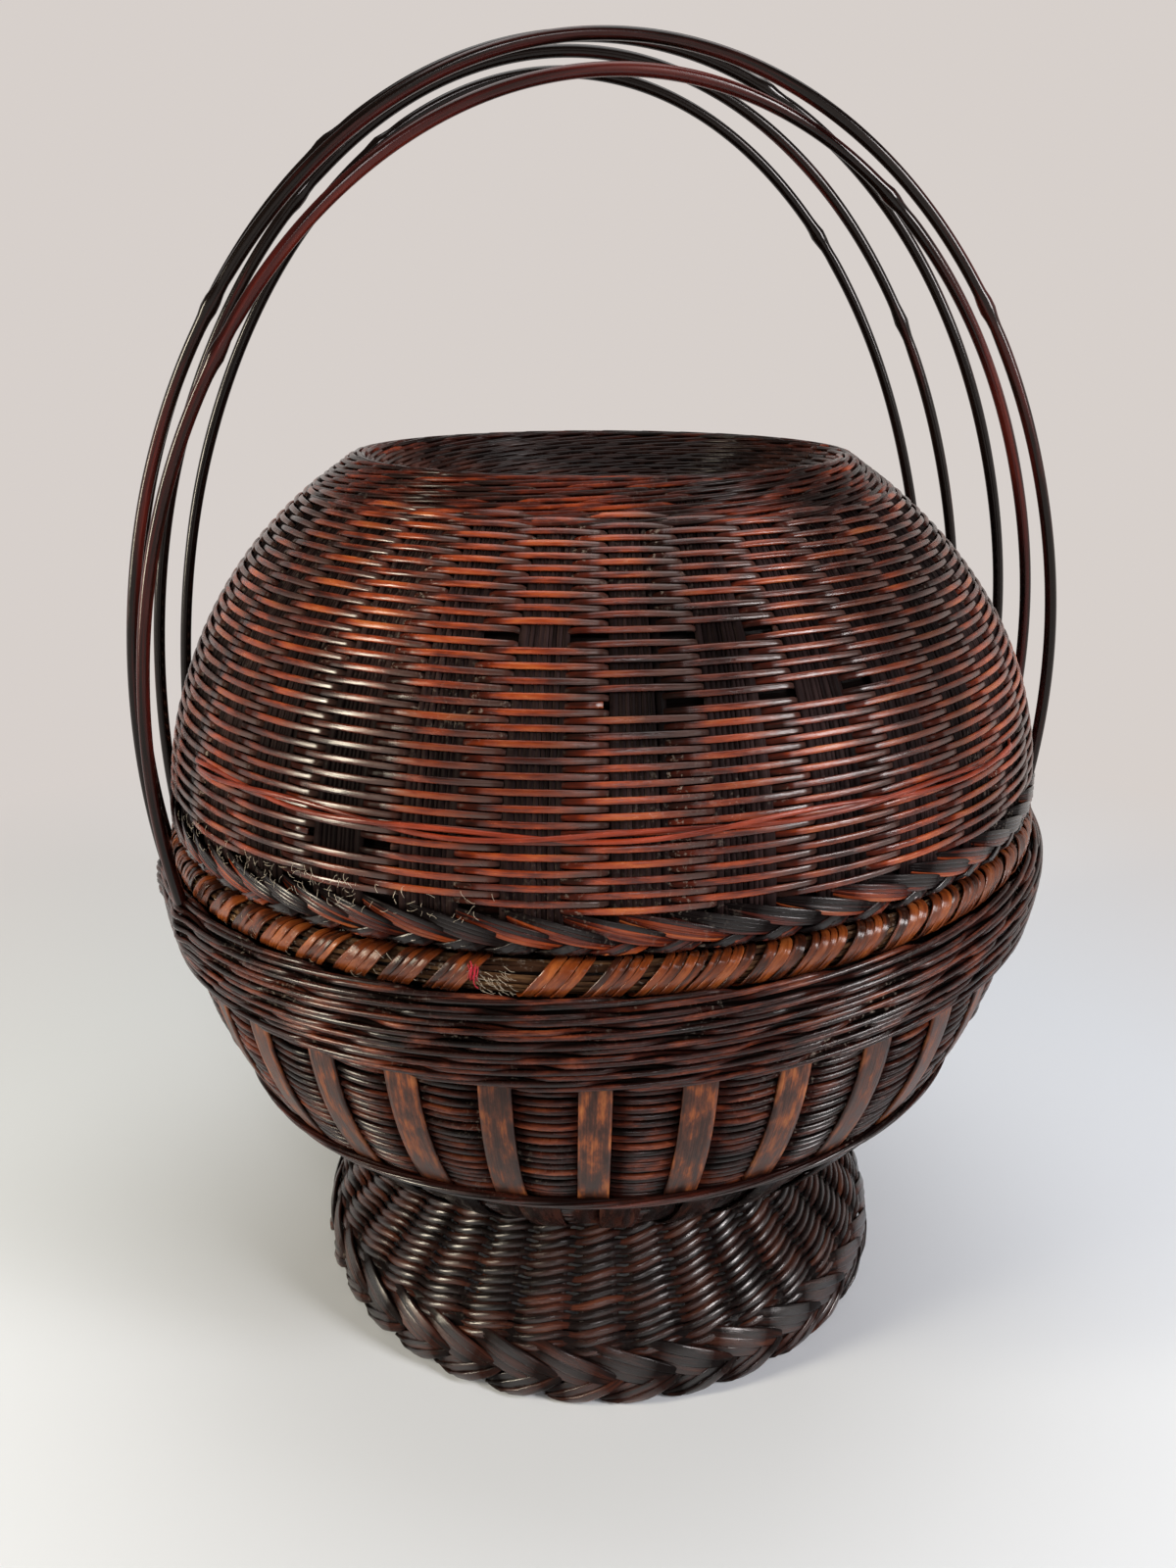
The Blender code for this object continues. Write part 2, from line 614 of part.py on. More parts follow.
def build():
    for piece in list(bpy.data.objects):
        bpy.data.objects.remove(piece, do_unlink=True)
    weave = make_material("woven_cane", (0.075, 0.028, 0.018), 0.42)
    dark = make_material("dark_cane", (0.040, 0.020, 0.016), 0.50)
    slat = make_material("bamboo_slat", (0.130, 0.052, 0.026), 0.45)
    plait = make_material("plaited_edge", (0.055, 0.026, 0.020), 0.45)
    lashing = make_material("split_cane_lashing", (0.260, 0.095, 0.035), 0.35)
    round_cane = make_material("lacquered_cane", (0.050, 0.012, 0.010), 0.25)
    loose = make_material("red_cane", (0.230, 0.045, 0.025), 0.30)

    make_foot(dark, plait)
    bowl = make_bowl(weave, dark)
    make_slats(bowl, slat, dark)
    lines = make_handle(round_cane)
    make_band(weave, lines)
    make_rim(slat, lashing)
    make_lid(weave, plait, dark, loose)
    print(f"rim height {1000 * lashing_top_z:.1f} mm, lid top {1000 * dome_top_z:.1f} mm, "
          f"foot radius {1000 * foot_radius:.1f} mm, band radius {1000 * band_outer_radius:.1f} mm, "
          f"cane ends at radius {1000 * cane_end_radius:.1f} mm")


build()
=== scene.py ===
from math import cos, pi, radians, sin

import bpy
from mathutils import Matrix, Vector
import numpy as np


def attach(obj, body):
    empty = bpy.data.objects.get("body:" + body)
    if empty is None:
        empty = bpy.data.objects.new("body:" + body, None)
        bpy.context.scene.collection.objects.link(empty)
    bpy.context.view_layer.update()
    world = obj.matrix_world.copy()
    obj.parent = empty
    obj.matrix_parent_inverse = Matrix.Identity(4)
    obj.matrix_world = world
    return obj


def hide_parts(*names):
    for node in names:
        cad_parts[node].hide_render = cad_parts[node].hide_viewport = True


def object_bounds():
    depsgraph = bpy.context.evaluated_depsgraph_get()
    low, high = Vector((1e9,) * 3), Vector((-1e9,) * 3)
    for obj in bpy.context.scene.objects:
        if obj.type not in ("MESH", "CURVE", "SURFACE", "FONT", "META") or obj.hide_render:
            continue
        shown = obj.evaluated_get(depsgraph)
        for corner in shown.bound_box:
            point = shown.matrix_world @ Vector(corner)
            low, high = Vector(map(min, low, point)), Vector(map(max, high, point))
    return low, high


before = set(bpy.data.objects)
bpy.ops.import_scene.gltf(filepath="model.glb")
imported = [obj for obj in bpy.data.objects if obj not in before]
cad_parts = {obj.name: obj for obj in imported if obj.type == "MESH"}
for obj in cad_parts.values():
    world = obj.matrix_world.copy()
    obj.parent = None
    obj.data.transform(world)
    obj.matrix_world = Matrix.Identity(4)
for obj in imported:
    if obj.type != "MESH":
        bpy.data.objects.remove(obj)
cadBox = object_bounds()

basketBody = "basket"
lidBody = "lid"
stakeCount = 33                    # upright groups in the lid, the bowl and the foot
frontSlat = radians(-105)          # a slat stands in the middle of the photographed side
lidStake = radians(-100.8)         # the lid is set down a little turned
grainShift = 7.3                   # takes each strand to its own stretch of the grain

# The hand-made basket leans a little: the rim is lower on one side
leanForm = {"slope": 0.028, "turn": radians(-15), "foot": 0.0412, "grow": 0.03906,
            "lid": 0.1558, "lidHeight": 0.0808}


def smoothStep(value):
    value = np.clip(value, 0, 1)
    return value * value * (3 - 2 * value)


def lean(points):
    points = np.array(points, float)
    grow = smoothStep((points[..., 2] - leanForm["foot"]) / leanForm["grow"])
    fade = 1 - smoothStep((points[..., 2] - leanForm["lid"]) / leanForm["lidHeight"])
    along = points[..., 0] * cos(leanForm["turn"]) + points[..., 1] * sin(leanForm["turn"])
    points[..., 2] += leanForm["slope"] * along * grow * fade
    return points


def unit(vectors):
    return vectors / np.maximum(np.linalg.norm(vectors, axis=-1, keepdims=True), 1e-12)


def polar(radius, angle, height):
    return np.stack(np.broadcast_arrays(radius * np.cos(angle), radius * np.sin(angle), height), -1)


# Every cane, splint and plait is a strand in a bundle, and a bundle becomes one mesh

def newBundle():
    return {"points": [], "corners": [], "sizes": [], "strand": [], "fibre": [], "count": 0}


def begin(seed):
    return newBundle(), np.random.default_rng(seed)


def column(value, steps):
    return np.broadcast_to(np.asarray(value, float), (steps,))[:, None]


def addStrand(bundle, line, outward, halfWide, halfThick, sides=6, tint=0.5, crown=1.0,
              place=None, square=1.0, seed=None):
    # square 1 gives a round section, and a lower value a flatter one with edges
    line = np.asarray(line, float)
    steps = len(line)
    outward = np.broadcast_to(outward, line.shape)
    ahead = np.empty_like(line)
    ahead[1:-1] = line[2:] - line[:-2]
    ahead[0] = line[1] - line[0]
    ahead[-1] = line[-1] - line[-2]
    ahead = unit(ahead)
    across = unit(np.cross(ahead, outward))
    up = np.cross(across, ahead)
    turn = 2 * pi * (np.arange(sides) + 0.5) / sides
    flat, tall = (np.sign(side) * np.abs(side) ** square for side in (np.cos(turn), np.sin(turn)))
    wide = flat * column(halfWide, steps)
    high = tall * column(halfThick, steps)
    ring = line[:, None] + across[:, None] * wide[..., None] + up[:, None] * high[..., None]
    index = bundle["count"] + np.arange(steps * sides).reshape(steps, sides)
    after = np.roll(index, -1, axis=1)
    quads = np.stack([index[:-1], index[1:], after[1:], after[:-1]], -1).reshape(-1)
    bundle["points"].append(ring.reshape(-1, 3))
    bundle["corners"] += [quads, index[0], index[-1][::-1]]
    bundle["sizes"] += [np.full((steps - 1) * sides, 4), np.array([sides, sides])]
    tags = np.ones((steps, sides, 4))
    place = np.linspace(0, 1, steps) if place is None else place
    for channel, value in enumerate((tint, crown, place)):
        tags[..., channel] = column(value, steps)
    bundle["strand"].append(tags.reshape(-1, 4))
    lengths = np.concatenate([[0], np.cumsum(np.linalg.norm(np.diff(line, axis=0), axis=1))])
    fibres = np.empty((steps, sides, 3))
    fibres[..., 0] = lengths[:, None]
    fibres[..., 1] = wide
    fibres[..., 2] = grainShift * (len(bundle["points"]) if seed is None else seed)
    bundle["fibre"].append(fibres.reshape(-1, 3))
    bundle["count"] += steps * sides


def addObject(name, data):
    added = bpy.data.objects.new(name, data)
    bpy.context.scene.collection.objects.link(added)
    return added


def addPiece(name, bundle, material, body, slot, *replaced, leans=True):
    points = np.concatenate(bundle["points"])
    if leans:
        points = lean(points)
    points[:, 2] = np.maximum(points[:, 2], cadBox[0][2])      # nothing reaches below the floor
    corners = np.concatenate(bundle["corners"]).astype(np.int32)
    sizes = np.concatenate(bundle["sizes"])
    mesh = bpy.data.meshes.new(name)
    mesh.vertices.add(len(points))
    mesh.vertices.foreach_set("co", points.astype(np.float32).ravel())
    mesh.loops.add(len(corners))
    mesh.loops.foreach_set("vertex_index", corners)
    mesh.polygons.add(len(sizes))
    mesh.polygons.foreach_set("loop_start", (np.cumsum(sizes) - sizes).astype(np.int32))
    mesh.update(calc_edges=True)
    mesh.shade_smooth()
    for layers, layer, kind, key in ((mesh.color_attributes, "strand", "FLOAT_COLOR", "color"),
                                     (mesh.attributes, "fibre", "FLOAT_VECTOR", "vector")):
        values = np.concatenate(bundle[layer]).astype(np.float32).ravel()
        layers.new(layer, kind, "POINT").data.foreach_set(key, values)
    mesh.materials.append(materials[material])
    piece = addObject(name, mesh)
    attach(piece, body)
    if replaced:
        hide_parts(*replaced)
    print(f"{name}: {len(sizes)} faces")


# Profiles are points (radius, height) turned about Z and read by the length along them

def newProfile(points):
    points = np.array(points, float)
    lengths = np.concatenate([[0], np.cumsum(np.hypot(*np.diff(points, axis=0).T))])
    return {"points": points, "lengths": lengths, "length": lengths[-1]}


def profileAt(profile, place):
    # Radius, height and the normal, which is smoothed over a short stretch
    near = profile["length"] * 0.03
    here, ahead, behind = (np.stack([np.interp(place + step, profile["lengths"], values)
                                     for values in profile["points"].T]) for step in (0, near, -near))
    change = ahead - behind
    change = change / np.maximum(np.hypot(*change), 1e-12)
    return *here, change[1], -change[0]


def onProfile(profile, place, angle, out):
    # Points and outward normals on the turned surface, lifted by out
    place, angle, out = np.broadcast_arrays(place, angle, out)
    radius, height, normalR, normalZ = profileAt(profile, place)
    return polar(radius + normalR * out, angle, height + normalZ * out), polar(normalR, angle, normalZ)


def ellipseProfile(radius, middle, semi, low, high, power=2.0):
    heights = np.linspace(low, high, 80)
    if low >= middle:
        heights = low + (high - low) * np.sin(np.linspace(0, pi / 2, 80))     # closer near the top
    share = np.abs((heights - middle) / semi) ** power
    return newProfile(np.stack([radius * np.sqrt(np.maximum(1 - share, 0)), heights], -1))


def placeAt(profile, height):
    return np.interp(height, profile["points"][:, 1], profile["lengths"])


def pulse(wave, rise, dive):
    # 1 between the rise and the dive, 0 elsewhere
    return (smoothStep((wave - rise[0]) / (rise[1] - rise[0]))
            - smoothStep((wave - dive[0]) / (dive[1] - dive[0])))


# Lacquered split bamboo: a dark stain rubbed through to red and orange along the fibres

def newMaterial(name):
    material = bpy.data.materials.new(name)
    material.use_nodes = True
    tree = material.node_tree
    solid = addNode(tree, "ShaderNodeTexCoord").outputs["Object"]
    return material, tree, tree.nodes["Principled BSDF"], solid


def feed(tree, node, values):
    # An input takes another node's output, a number, a vector or a colour
    for key, value in values.items():
        socket = node.inputs[key]
        if isinstance(value, bpy.types.NodeSocket):
            tree.links.new(value, socket)
        else:
            socket.default_value = (*value, 1) if socket.type == "RGBA" else value


def addNode(tree, kind, *values, **settings):
    node = tree.nodes.new(kind)
    for key, value in settings.items():
        setattr(node, key, value)
    feed(tree, node, dict(enumerate(values)))
    return node


def mathNode(tree, operation, *values):
    return addNode(tree, "ShaderNodeMath", *values, operation=operation).outputs[0]


def product(tree, value, *others):
    for other in others:
        value = mathNode(tree, "MULTIPLY", value, other)
    return value


def mixColour(tree, factor, first, second):
    node = addNode(tree, "ShaderNodeMix", data_type="RGBA")
    feed(tree, node, {0: factor, 6: first, 7: second})
    return node.outputs[2]


def noiseOn(tree, vector, stretch, detail=2.0):
    mapping, noise = addNode(tree, "ShaderNodeMapping", vector), addNode(tree, "ShaderNodeTexNoise")
    feed(tree, mapping, {"Scale": stretch})
    feed(tree, noise, {"Vector": mapping.outputs[0], "Scale": 1.0, "Detail": detail, "Roughness": 0.6})
    return noise.outputs["Fac"]


def rampOn(tree, value, low, high, start=0.0, stop=1.0):
    return addNode(tree, "ShaderNodeMapRange", value, low, high, start, stop, clamp=True).outputs[0]


def colourStops(tree, value, stops):
    # A stop is its position, then red, green and blue
    ramp = addNode(tree, "ShaderNodeValToRGB", value)
    points = ramp.color_ramp.elements
    while len(points) < len(stops):
        points.new(0.5)
    for point, (position, *colour) in zip(points, stops):
        point.position = position
        point.color = (*colour, 1)
    return ramp.outputs["Color"]


# Dirt darkens the canes in broad patches, and painted light is added: the canes round one spot on the
# lid's front are painted lighter and those further from it painted darker
dirtAndPaintedLightForm = {"spot": (-0.025, -0.11, 0.18), "reach": (0.03, 0.1, -0.13, 0.055),
            "sootPatches": (24, 24, 20), "sootAndShadeEdge": (0.42, 0.6), "dustSpecks": (900, 900, 900),
            "dustHeaps": (26, 26, 26), "dustColour": (0.34, 0.29, 0.24), "dustRough": 0.4,
            "grainDepth": 0.0003}


def caneMaterial(name, finish):
    material, tree, shader, solid = newMaterial(name)
    strand = addNode(tree, "ShaderNodeAttribute", attribute_name="strand").outputs["Color"]
    tint, crown, place = addNode(tree, "ShaderNodeSeparateColor", strand).outputs
    fibre = addNode(tree, "ShaderNodeAttribute", attribute_name="fibre").outputs["Vector"]
    grain = noiseOn(tree, fibre, finish["grain"], 4.0)
    patch = noiseOn(tree, fibre, finish["patch"], 4.0)
    # How far each spot is rubbed: patches, fibres, luck, and the height of the crown
    rub = finish["rub"]
    for value, amount in ((patch, "patchy"), (grain, "fibrous"), (tint, "vary"), (crown, "crown")):
        rub = mathNode(tree, "MULTIPLY_ADD", value, finish[amount], rub)
    if "streak" in finish:
        # On a woven cane the middle stretch is rubbed lightest. The ends, where it rises from behind one
        # stake group and dives behind the next, are darkened as painted shade
        rub = product(tree, rampOn(tree, place, *finish["streak"][:2], 0.62, 1.0),
                      rampOn(tree, place, *finish["streak"][2:], 1.0, 0.5), rub)
        # Both ends of the stretch lie deep and stay dull
        crown = product(tree, rampOn(tree, place, 0.17, 0.26),
                        rampOn(tree, place, 0.79, 0.85, 1.0, 0.0), crown)
    colour = colourStops(tree, rub, finish["colours"])
    # Painted pool of light round the spot on the lid's front and painted shade further off, mixed with the
    # dirt patches towards the darkest colour
    away = addNode(tree, "ShaderNodeVectorMath", solid, dirtAndPaintedLightForm["spot"], operation="DISTANCE")
    broad = mathNode(tree, "ADD", noiseOn(tree, solid, dirtAndPaintedLightForm["sootPatches"]),
                     rampOn(tree, away.outputs["Value"], *dirtAndPaintedLightForm["reach"]))
    colour = mixColour(tree, rampOn(tree, broad, *dirtAndPaintedLightForm["sootAndShadeEdge"], 0.0, finish["sootAndPaintedShade"]),
                       colour, finish["colours"][0][1:])
    # Painted sheen: towards each woven cane's tip a grey-pink tint stands in for a window's reflection
    if "paintedSheenTip" in finish:
        low, high, paintedSheenColour = finish["paintedSheenTip"]
        paintedSheen = product(tree, rampOn(tree, place, low, high), rampOn(tree, place, 0.78, 0.87, 1.0, 0.3),
                       rampOn(tree, grain, 0.25, 0.6, 0.2, 1.0))
        colour = mixColour(tree, paintedSheen, colour, paintedSheenColour)
    dust = product(tree, rampOn(tree, noiseOn(tree, solid, dirtAndPaintedLightForm["dustSpecks"]), 0.57, 0.68),
                   rampOn(tree, noiseOn(tree, solid, dirtAndPaintedLightForm["dustHeaps"]), 0.48, 0.68, 0.0,
                          finish["dust"]),
                   rampOn(tree, crown, 0.3, 0.9, 1.0, 0.15))
    rough = rampOn(tree, patch, 0.3, 0.7, finish["rough"] - 0.07, finish["rough"] + 0.12)
    bump = addNode(tree, "ShaderNodeBump")
    feed(tree, bump, {"Strength": finish["bump"], "Distance": dirtAndPaintedLightForm["grainDepth"], "Height": grain})
    # The hollows are dull with dirt
    gloss = rampOn(tree, crown, 0.7, 1.0, finish["gloss"] * 0.05, finish["gloss"])
    feed(tree, shader, {"Base Color": mixColour(tree, dust, colour, dirtAndPaintedLightForm["dustColour"]),
                        "Roughness": mathNode(tree, "MULTIPLY_ADD", dust, dirtAndPaintedLightForm["dustRough"], rough),
                        "Normal": bump.outputs["Normal"], "Specular IOR Level": gloss})
    return material


weaveFinish = {"colours": ((0.0, 0.005, 0.003, 0.0025), (0.34, 0.02, 0.008, 0.006),
                           (0.54, 0.085, 0.014, 0.007), (0.74, 0.29, 0.045, 0.01),
                           (1.0, 0.44, 0.11, 0.024)),
               "grain": (60, 3000, 1), "patch": (90, 420, 1), "patchy": 1.15, "fibrous": 0.4,
               "rub": -0.39, "vary": 0.3, "crown": 0.15, "sootAndPaintedShade": 0.8, "dust": 0.8, "rough": 0.2,
               "bump": 0.3, "gloss": 0.56}
darkStops = ((0.0, 0.002, 0.0015, 0.0015), (0.52, 0.006, 0.004, 0.0035),
             (0.72, 0.028, 0.008, 0.006), (0.86, 0.11, 0.024, 0.011), (1.0, 0.24, 0.06, 0.022))
# What each finish changes in the one above
finishes = {
    # Woven cane: painted sheen towards each tip
    "wovenCane": {"streak": (0.2, 0.33, 0.68, 0.86), "paintedSheenTip": (0.52, 0.72, (0.062, 0.034, 0.028))},
    "darkCane": {"colours": darkStops, "dust": 0.1},
    "lipCane": {"rub": -0.64, "dust": 0.6, "gloss": 0.12},
    "bowlRibs": {"colours": darkStops, "rub": -0.29, "vary": 0.16, "dust": 1.0, "gloss": 0.38,
                 "sootAndPaintedShade": 0.5},
    "lidSplints": {
        "colours": ((0.0, 0.002, 0.0015, 0.0015), (0.5, 0.0075, 0.0048, 0.0048),
                    (1.0, 0.044, 0.026, 0.025)),
        "rough": 0.38, "fibrous": 0.6, "patchy": 0.75, "rub": -0.2, "dust": 0.4, "gloss": 0.3},
    "wornSlats": {
        "colours": ((0.0, 0.012, 0.006, 0.005), (0.36, 0.05, 0.019, 0.012),
                    (0.55, 0.11, 0.034, 0.017), (0.68, 0.23, 0.062, 0.019),
                    (1.0, 0.43, 0.15, 0.045)),
        "grain": (40, 2600, 1), "patch": (130, 420, 1), "patchy": 1.8, "fibrous": 0.55, "rub": -0.72,
        "vary": 0.1, "crown": 0.0, "rough": 0.36, "sootAndPaintedShade": 0.35, "dust": 0.15, "gloss": 0.6},
    "splitLashing": {
        "colours": ((0.0, 0.006, 0.003, 0.003), (0.42, 0.034, 0.011, 0.006),
                    (0.68, 0.17, 0.036, 0.008), (1.0, 0.36, 0.1, 0.022)),
        "grain": (40, 2400, 1), "patch": (120, 400, 1), "patchy": 1.2, "rub": -0.49, "fibrous": 0.5,
        "vary": 0.34, "crown": 0.12, "sootAndPaintedShade": 0.55, "dust": 0.3, "gloss": 0.55, "rough": 0.22},
    "plaitedEdge": {
        "colours": ((0.0, 0.003, 0.002, 0.002), (0.58, 0.01, 0.007, 0.007),
                    (0.72, 0.07, 0.012, 0.007), (0.88, 0.25, 0.044, 0.012),
                    (1.0, 0.36, 0.1, 0.03)),
        "patch": (50, 700, 1), "patchy": 0.9, "rub": -0.5, "vary": 0.6, "dust": 0.5, "gloss": 0.45,
        "rough": 0.16},
    "footCane": {
        "colours": ((0.0, 0.003, 0.0025, 0.0025), (0.54, 0.014, 0.0095, 0.009),
                    (0.76, 0.055, 0.017, 0.011), (1.0, 0.16, 0.05, 0.024)),
        "patch": (50, 400, 1), "patchy": 1.1, "rub": -0.4, "dust": 0.2, "gloss": 0.75, "rough": 0.22,
        "sootAndPaintedShade": 0.5},
    "tieCane": {
        "colours": ((0.0, 0.004, 0.0025, 0.0025), (0.55, 0.022, 0.007, 0.005),
                    (1.0, 0.15, 0.028, 0.014)), "dust": 0.2},
    "redCane": {
        "colours": ((0.0, 0.008, 0.003, 0.003), (0.45, 0.06, 0.008, 0.005),
                    (1.0, 0.36, 0.05, 0.016)), "rub": -0.3, "dust": 0.0, "sootAndPaintedShade": 0.3},
    "lacqueredCane": {
        "colours": ((0.0, 0.003, 0.002, 0.002), (0.6, 0.006, 0.003, 0.002),
                    (0.76, 0.06, 0.007, 0.005), (1.0, 0.2, 0.026, 0.012)),
        "grain": (30, 1500, 1), "patch": (14, 420, 1), "patchy": 1.0, "rub": -0.15, "crown": 0.0,
        "fibrous": 0.2, "dust": 0.0, "rough": 0.16, "gloss": 0.34, "sootAndPaintedShade": 0.2, "bump": 0.1},
    "wellCane": {
        "colours": ((0.0, 0.004, 0.0025, 0.0025), (0.55, 0.018, 0.008, 0.006),
                    (1.0, 0.1, 0.032, 0.02)), "dust": 0.1, "gloss": 0.12},
    "rimFiller": {
        "colours": ((0.0, 0.005, 0.003, 0.002), (0.5, 0.04, 0.019, 0.011),
                    (1.0, 0.24, 0.13, 0.06)), "dust": 1.0, "rough": 0.5, "gloss": 0.2},
}
materials = {name: caneMaterial(name, {**weaveFinish, **finish}) for name, finish in finishes.items()}
print("materials ready")


# A part is a finish, the body it rides on, its slot and the solids that it takes the place of
domePart = ("wovenCane", lidBody, "woven_cane", "lid_dome")
wellPart = ("wellCane", lidBody, "dark_cane", "lid_well")

# Lid: one long weft climbs the dome, over one stake group and behind the next
domeForm = {"radius": 0.11686, "bottom": 0.1558, "height": 0.0808, "semi": 0.1003, "power": 1.85}
weaveForm = {"pitch": 0.0016, "swing": 0.00078, "halfHigh": 0.00074, "halfClose": 0.00068,
             "halfThick": 0.0004, "rowsPerPiece": 19, "stray": 0.00008, "lift": -0.00115,
             "rise": (-2.62, -2.02), "dive": (2.0, 2.34), "arch": 0.75,
             "stations": (-2.85, -2.6, -2.48, -2.36, -2.24, -2.12, -2.0, -1.6, -1.1, -0.6, 0.0, 0.6,
                          1.1, 1.6, 1.95, 2.05, 2.14, 2.22, 2.32, 2.6, 2.95)}
# Broken wefts: place along the dome, start and end of the gap in degrees, and 1 for the other layer
brokenWefts = [(0.0597, -119.5, -83.5, 1), (0.0428, -104.5, -71.5, 0), (0.015, -136.0, -127.0, 1)]


def weaveSpiral(name, profile, form, part, stakes=stakeCount, phase=frontSlat, broken=(), seed=1,
                start=0.0, end=None):
    end = profile["length"] if end is None else end
    noise = np.random.default_rng(seed)
    passes = int((end - start) / form["pitch"] * stakes / 2)
    stations = np.array(form["stations"])
    wave = np.tile(stations, passes)
    number = np.repeat(np.arange(passes), len(stations))
    angle = phase + 2 / stakes * (2 * pi * number + wave)
    place = start + form["pitch"] * (angle - angle[0]) / (2 * pi)
    up = pulse(wave, form["rise"], form["dive"])
    near = smoothStep((np.abs(wave) - 0.85) / 0.6)
    halfHigh = form["halfHigh"] + (form["halfClose"] - form["halfHigh"]) * near
    stray = noise.normal(0, form["stray"], passes)[number] * (1 - near)
    lift = form["swing"] * (2 * up - 1 + form["arch"] * up * (np.cos(wave * 0.7) - 0.5)) + form["lift"]
    line, normal = onProfile(profile, place + stray, angle, lift)
    tint = noise.random(passes)[number]
    along = (wave + pi) / (2 * pi)
    keep = np.ones(len(wave), bool)
    for height, low, right, odd in broken:
        turns = round((height - start) / form["pitch"])
        turns += (turns + odd) % 2
        first = phase + 2 * pi * turns + ((radians(low) - phase + pi) % (2 * pi) - pi)
        keep &= ~((angle > first) & (angle < first + radians(right - low)))
    pieces = max(1, round(passes * 2 / stakes / form["rowsPerPiece"]))
    for section in range(pieces):
        bundle = newBundle()
        mine = keep & (number * pieces // passes == section)
        edges = np.flatnonzero(np.diff(np.concatenate([[0], mine.astype(int), [0]])))
        for low, high in zip(edges[::2], edges[1::2]):
            if high - low > 3:
                run = slice(low, high)
                addStrand(bundle, line[run], normal[run], halfHigh[run], form["halfThick"], 8,
                          tint[run], up[run], along[run], square=0.6, seed=0)
        addPiece(f"{name}{section + 1}" if pieces > 1 else name, bundle, *part)


domeProfile = ellipseProfile(domeForm["radius"], domeForm["bottom"], domeForm["semi"],
                             domeForm["bottom"], domeForm["bottom"] + domeForm["height"],
                             domeForm["power"])
lipStart = 0.09                    # the plain weave gives way to twined rows near the lip
weaveSpiral("lidWeave", domeProfile, weaveForm, domePart, phase=lidStake, broken=brokenWefts,
            start=0.0035, end=lipStart)

splintForm = {"fine": 7, "share": 0.6, "gap": -0.00005, "halfThick": 0.00034, "stations": 26,
              "wideSide": (1.5, 2.6), "thinSide": (0.7, 1.3)}


def stakeGroups(name, profile, form, part, stakes=stakeCount, phase=frontSlat, seed=2, out=0.0):
    # Each group has a broad splint at both sides and thin ones between
    bundle, noise = begin(seed)
    place = np.linspace(0, profile["length"], form["stations"])
    radius = profileAt(profile, place)[0]
    share = form["share"] * (0.8 + 0.2 * np.clip(radius / profile["points"][:, 0].max(), 0, 1))
    whole = 2 * pi * radius / stakes * share
    for index in range(stakes):
        middle = phase + 2 * pi * index / stakes + noise.normal(0, 0.003)
        widths = np.concatenate([[noise.uniform(*form["wideSide"])],
                                 noise.uniform(*form["thinSide"], form["fine"]),
                                 [noise.uniform(*form["wideSide"])]])
        if noise.random() < 0.35:
            widths[noise.integers(1, 3)] = 2.2
        edges = np.concatenate([[0], np.cumsum(widths)]) / widths.sum() - 0.5
        for low, high in zip(edges, edges[1:]):
            centre = middle + (low + high) / 2 * whole / radius
            half = (high - low) / 2 * whole - form["gap"] / 2
            addStrand(bundle, *onProfile(profile, place, centre, out + noise.normal(0, 0.00009)), half,
                      form["halfThick"], 6, noise.random(), 0.55, square=0.6)
    addPiece(name, bundle, *part)


stakeGroups("lidStakes", domeProfile, splintForm, ("lidSplints", *domePart[1:]), phase=lidStake,
            out=-0.00115)

liningForm = {"step": 0.0045, "halfHigh": 0.00351, "halfThick": 0.00035}


def lining(name, profile, sink, body, replaced):
    # Near-black inner rings close the hollow behind the wefts: painted shade for that hollow
    bundle = newBundle()
    for place in np.arange(liningForm["step"] / 2, profile["length"], liningForm["step"]):
        addStrand(bundle, *onProfile(profile, place, np.linspace(0, 2 * pi, 121), -sink),
                  liningForm["halfHigh"], liningForm["halfThick"], 4, 0.0, 0.0)
    addPiece(name, bundle, "darkCane", body, "dark_cane", replaced)


lining("lidLining", domeProfile, 0.0028, lidBody, "lid_dome")


def waledRows(name, profile, places, form, part, phase=frontSlat, seed=3, out=0.0, bulge=None):
    # Three canes by turns pass outside two stakes and behind the third, and climb as they go
    bundle, noise = begin(seed)
    angle = np.linspace(0, 2 * pi, stakeCount * form["perStake"] + 1)
    for row, place in enumerate(places):
        noise.random()             # passed over, so that the draws below stay the same
        for strand in range(3):
            turn = (angle - phase) * stakeCount / (2 * pi) / 3 + strand / 3 + form["stagger"] * row
            share = turn % 1
            up = pulse(share, (0.0, 0.13), (0.6, 0.74))
            lift = form["swing"] * (2 * up - 1) + out
            if bulge is not None:
                lift = lift + bulge(place, angle)
            climb = np.where(share < 0.67, share / 0.67, (1 - share) / 0.33) - 0.5
            number = np.floor(turn).astype(int) - int(np.floor(turn).min())
            tint = noise.random(number.max() + 1)[number]
            stray = noise.normal(0, form["stray"], number.max() + 1)[number] * up
            addStrand(bundle, *onProfile(profile, place + form["rise"] * climb + stray, angle, lift),
                      form["halfHigh"] * (0.8 + 0.2 * up), form["halfThick"], 6, tint, up, share,
                      seed=row * 3 + strand)
    addPiece(name, bundle, *part)


def twinedRows(name, profile, places, form, part, seed=3, out=0.0):
    # Pairs of canes twist half a turn at each stake, one outside while the other is behind
    bundle, noise = begin(seed)
    angle = np.linspace(0, 2 * pi, stakeCount * form["perStake"] + 1)
    for row, place in enumerate(places):
        for strand in range(2):
            wave = stakeCount / 2 * (angle - frontSlat) + pi * strand
            outside = np.cos(wave)
            number = np.floor((wave + pi / 2) / pi).astype(int)
            number -= number.min()
            tint = noise.random(number.max() + 1)[number]
            addStrand(bundle, *onProfile(profile, place + form["rise"] * np.sin(wave), angle,
                                         form["swing"] * outside + out),
                      form["halfHigh"] * (0.62 + 0.38 * outside), form["halfThick"], 6, tint,
                      0.5 + 0.5 * outside, (wave / pi + 0.5) % 1, seed=row * 2 + strand)
    addPiece(name, bundle, *part)


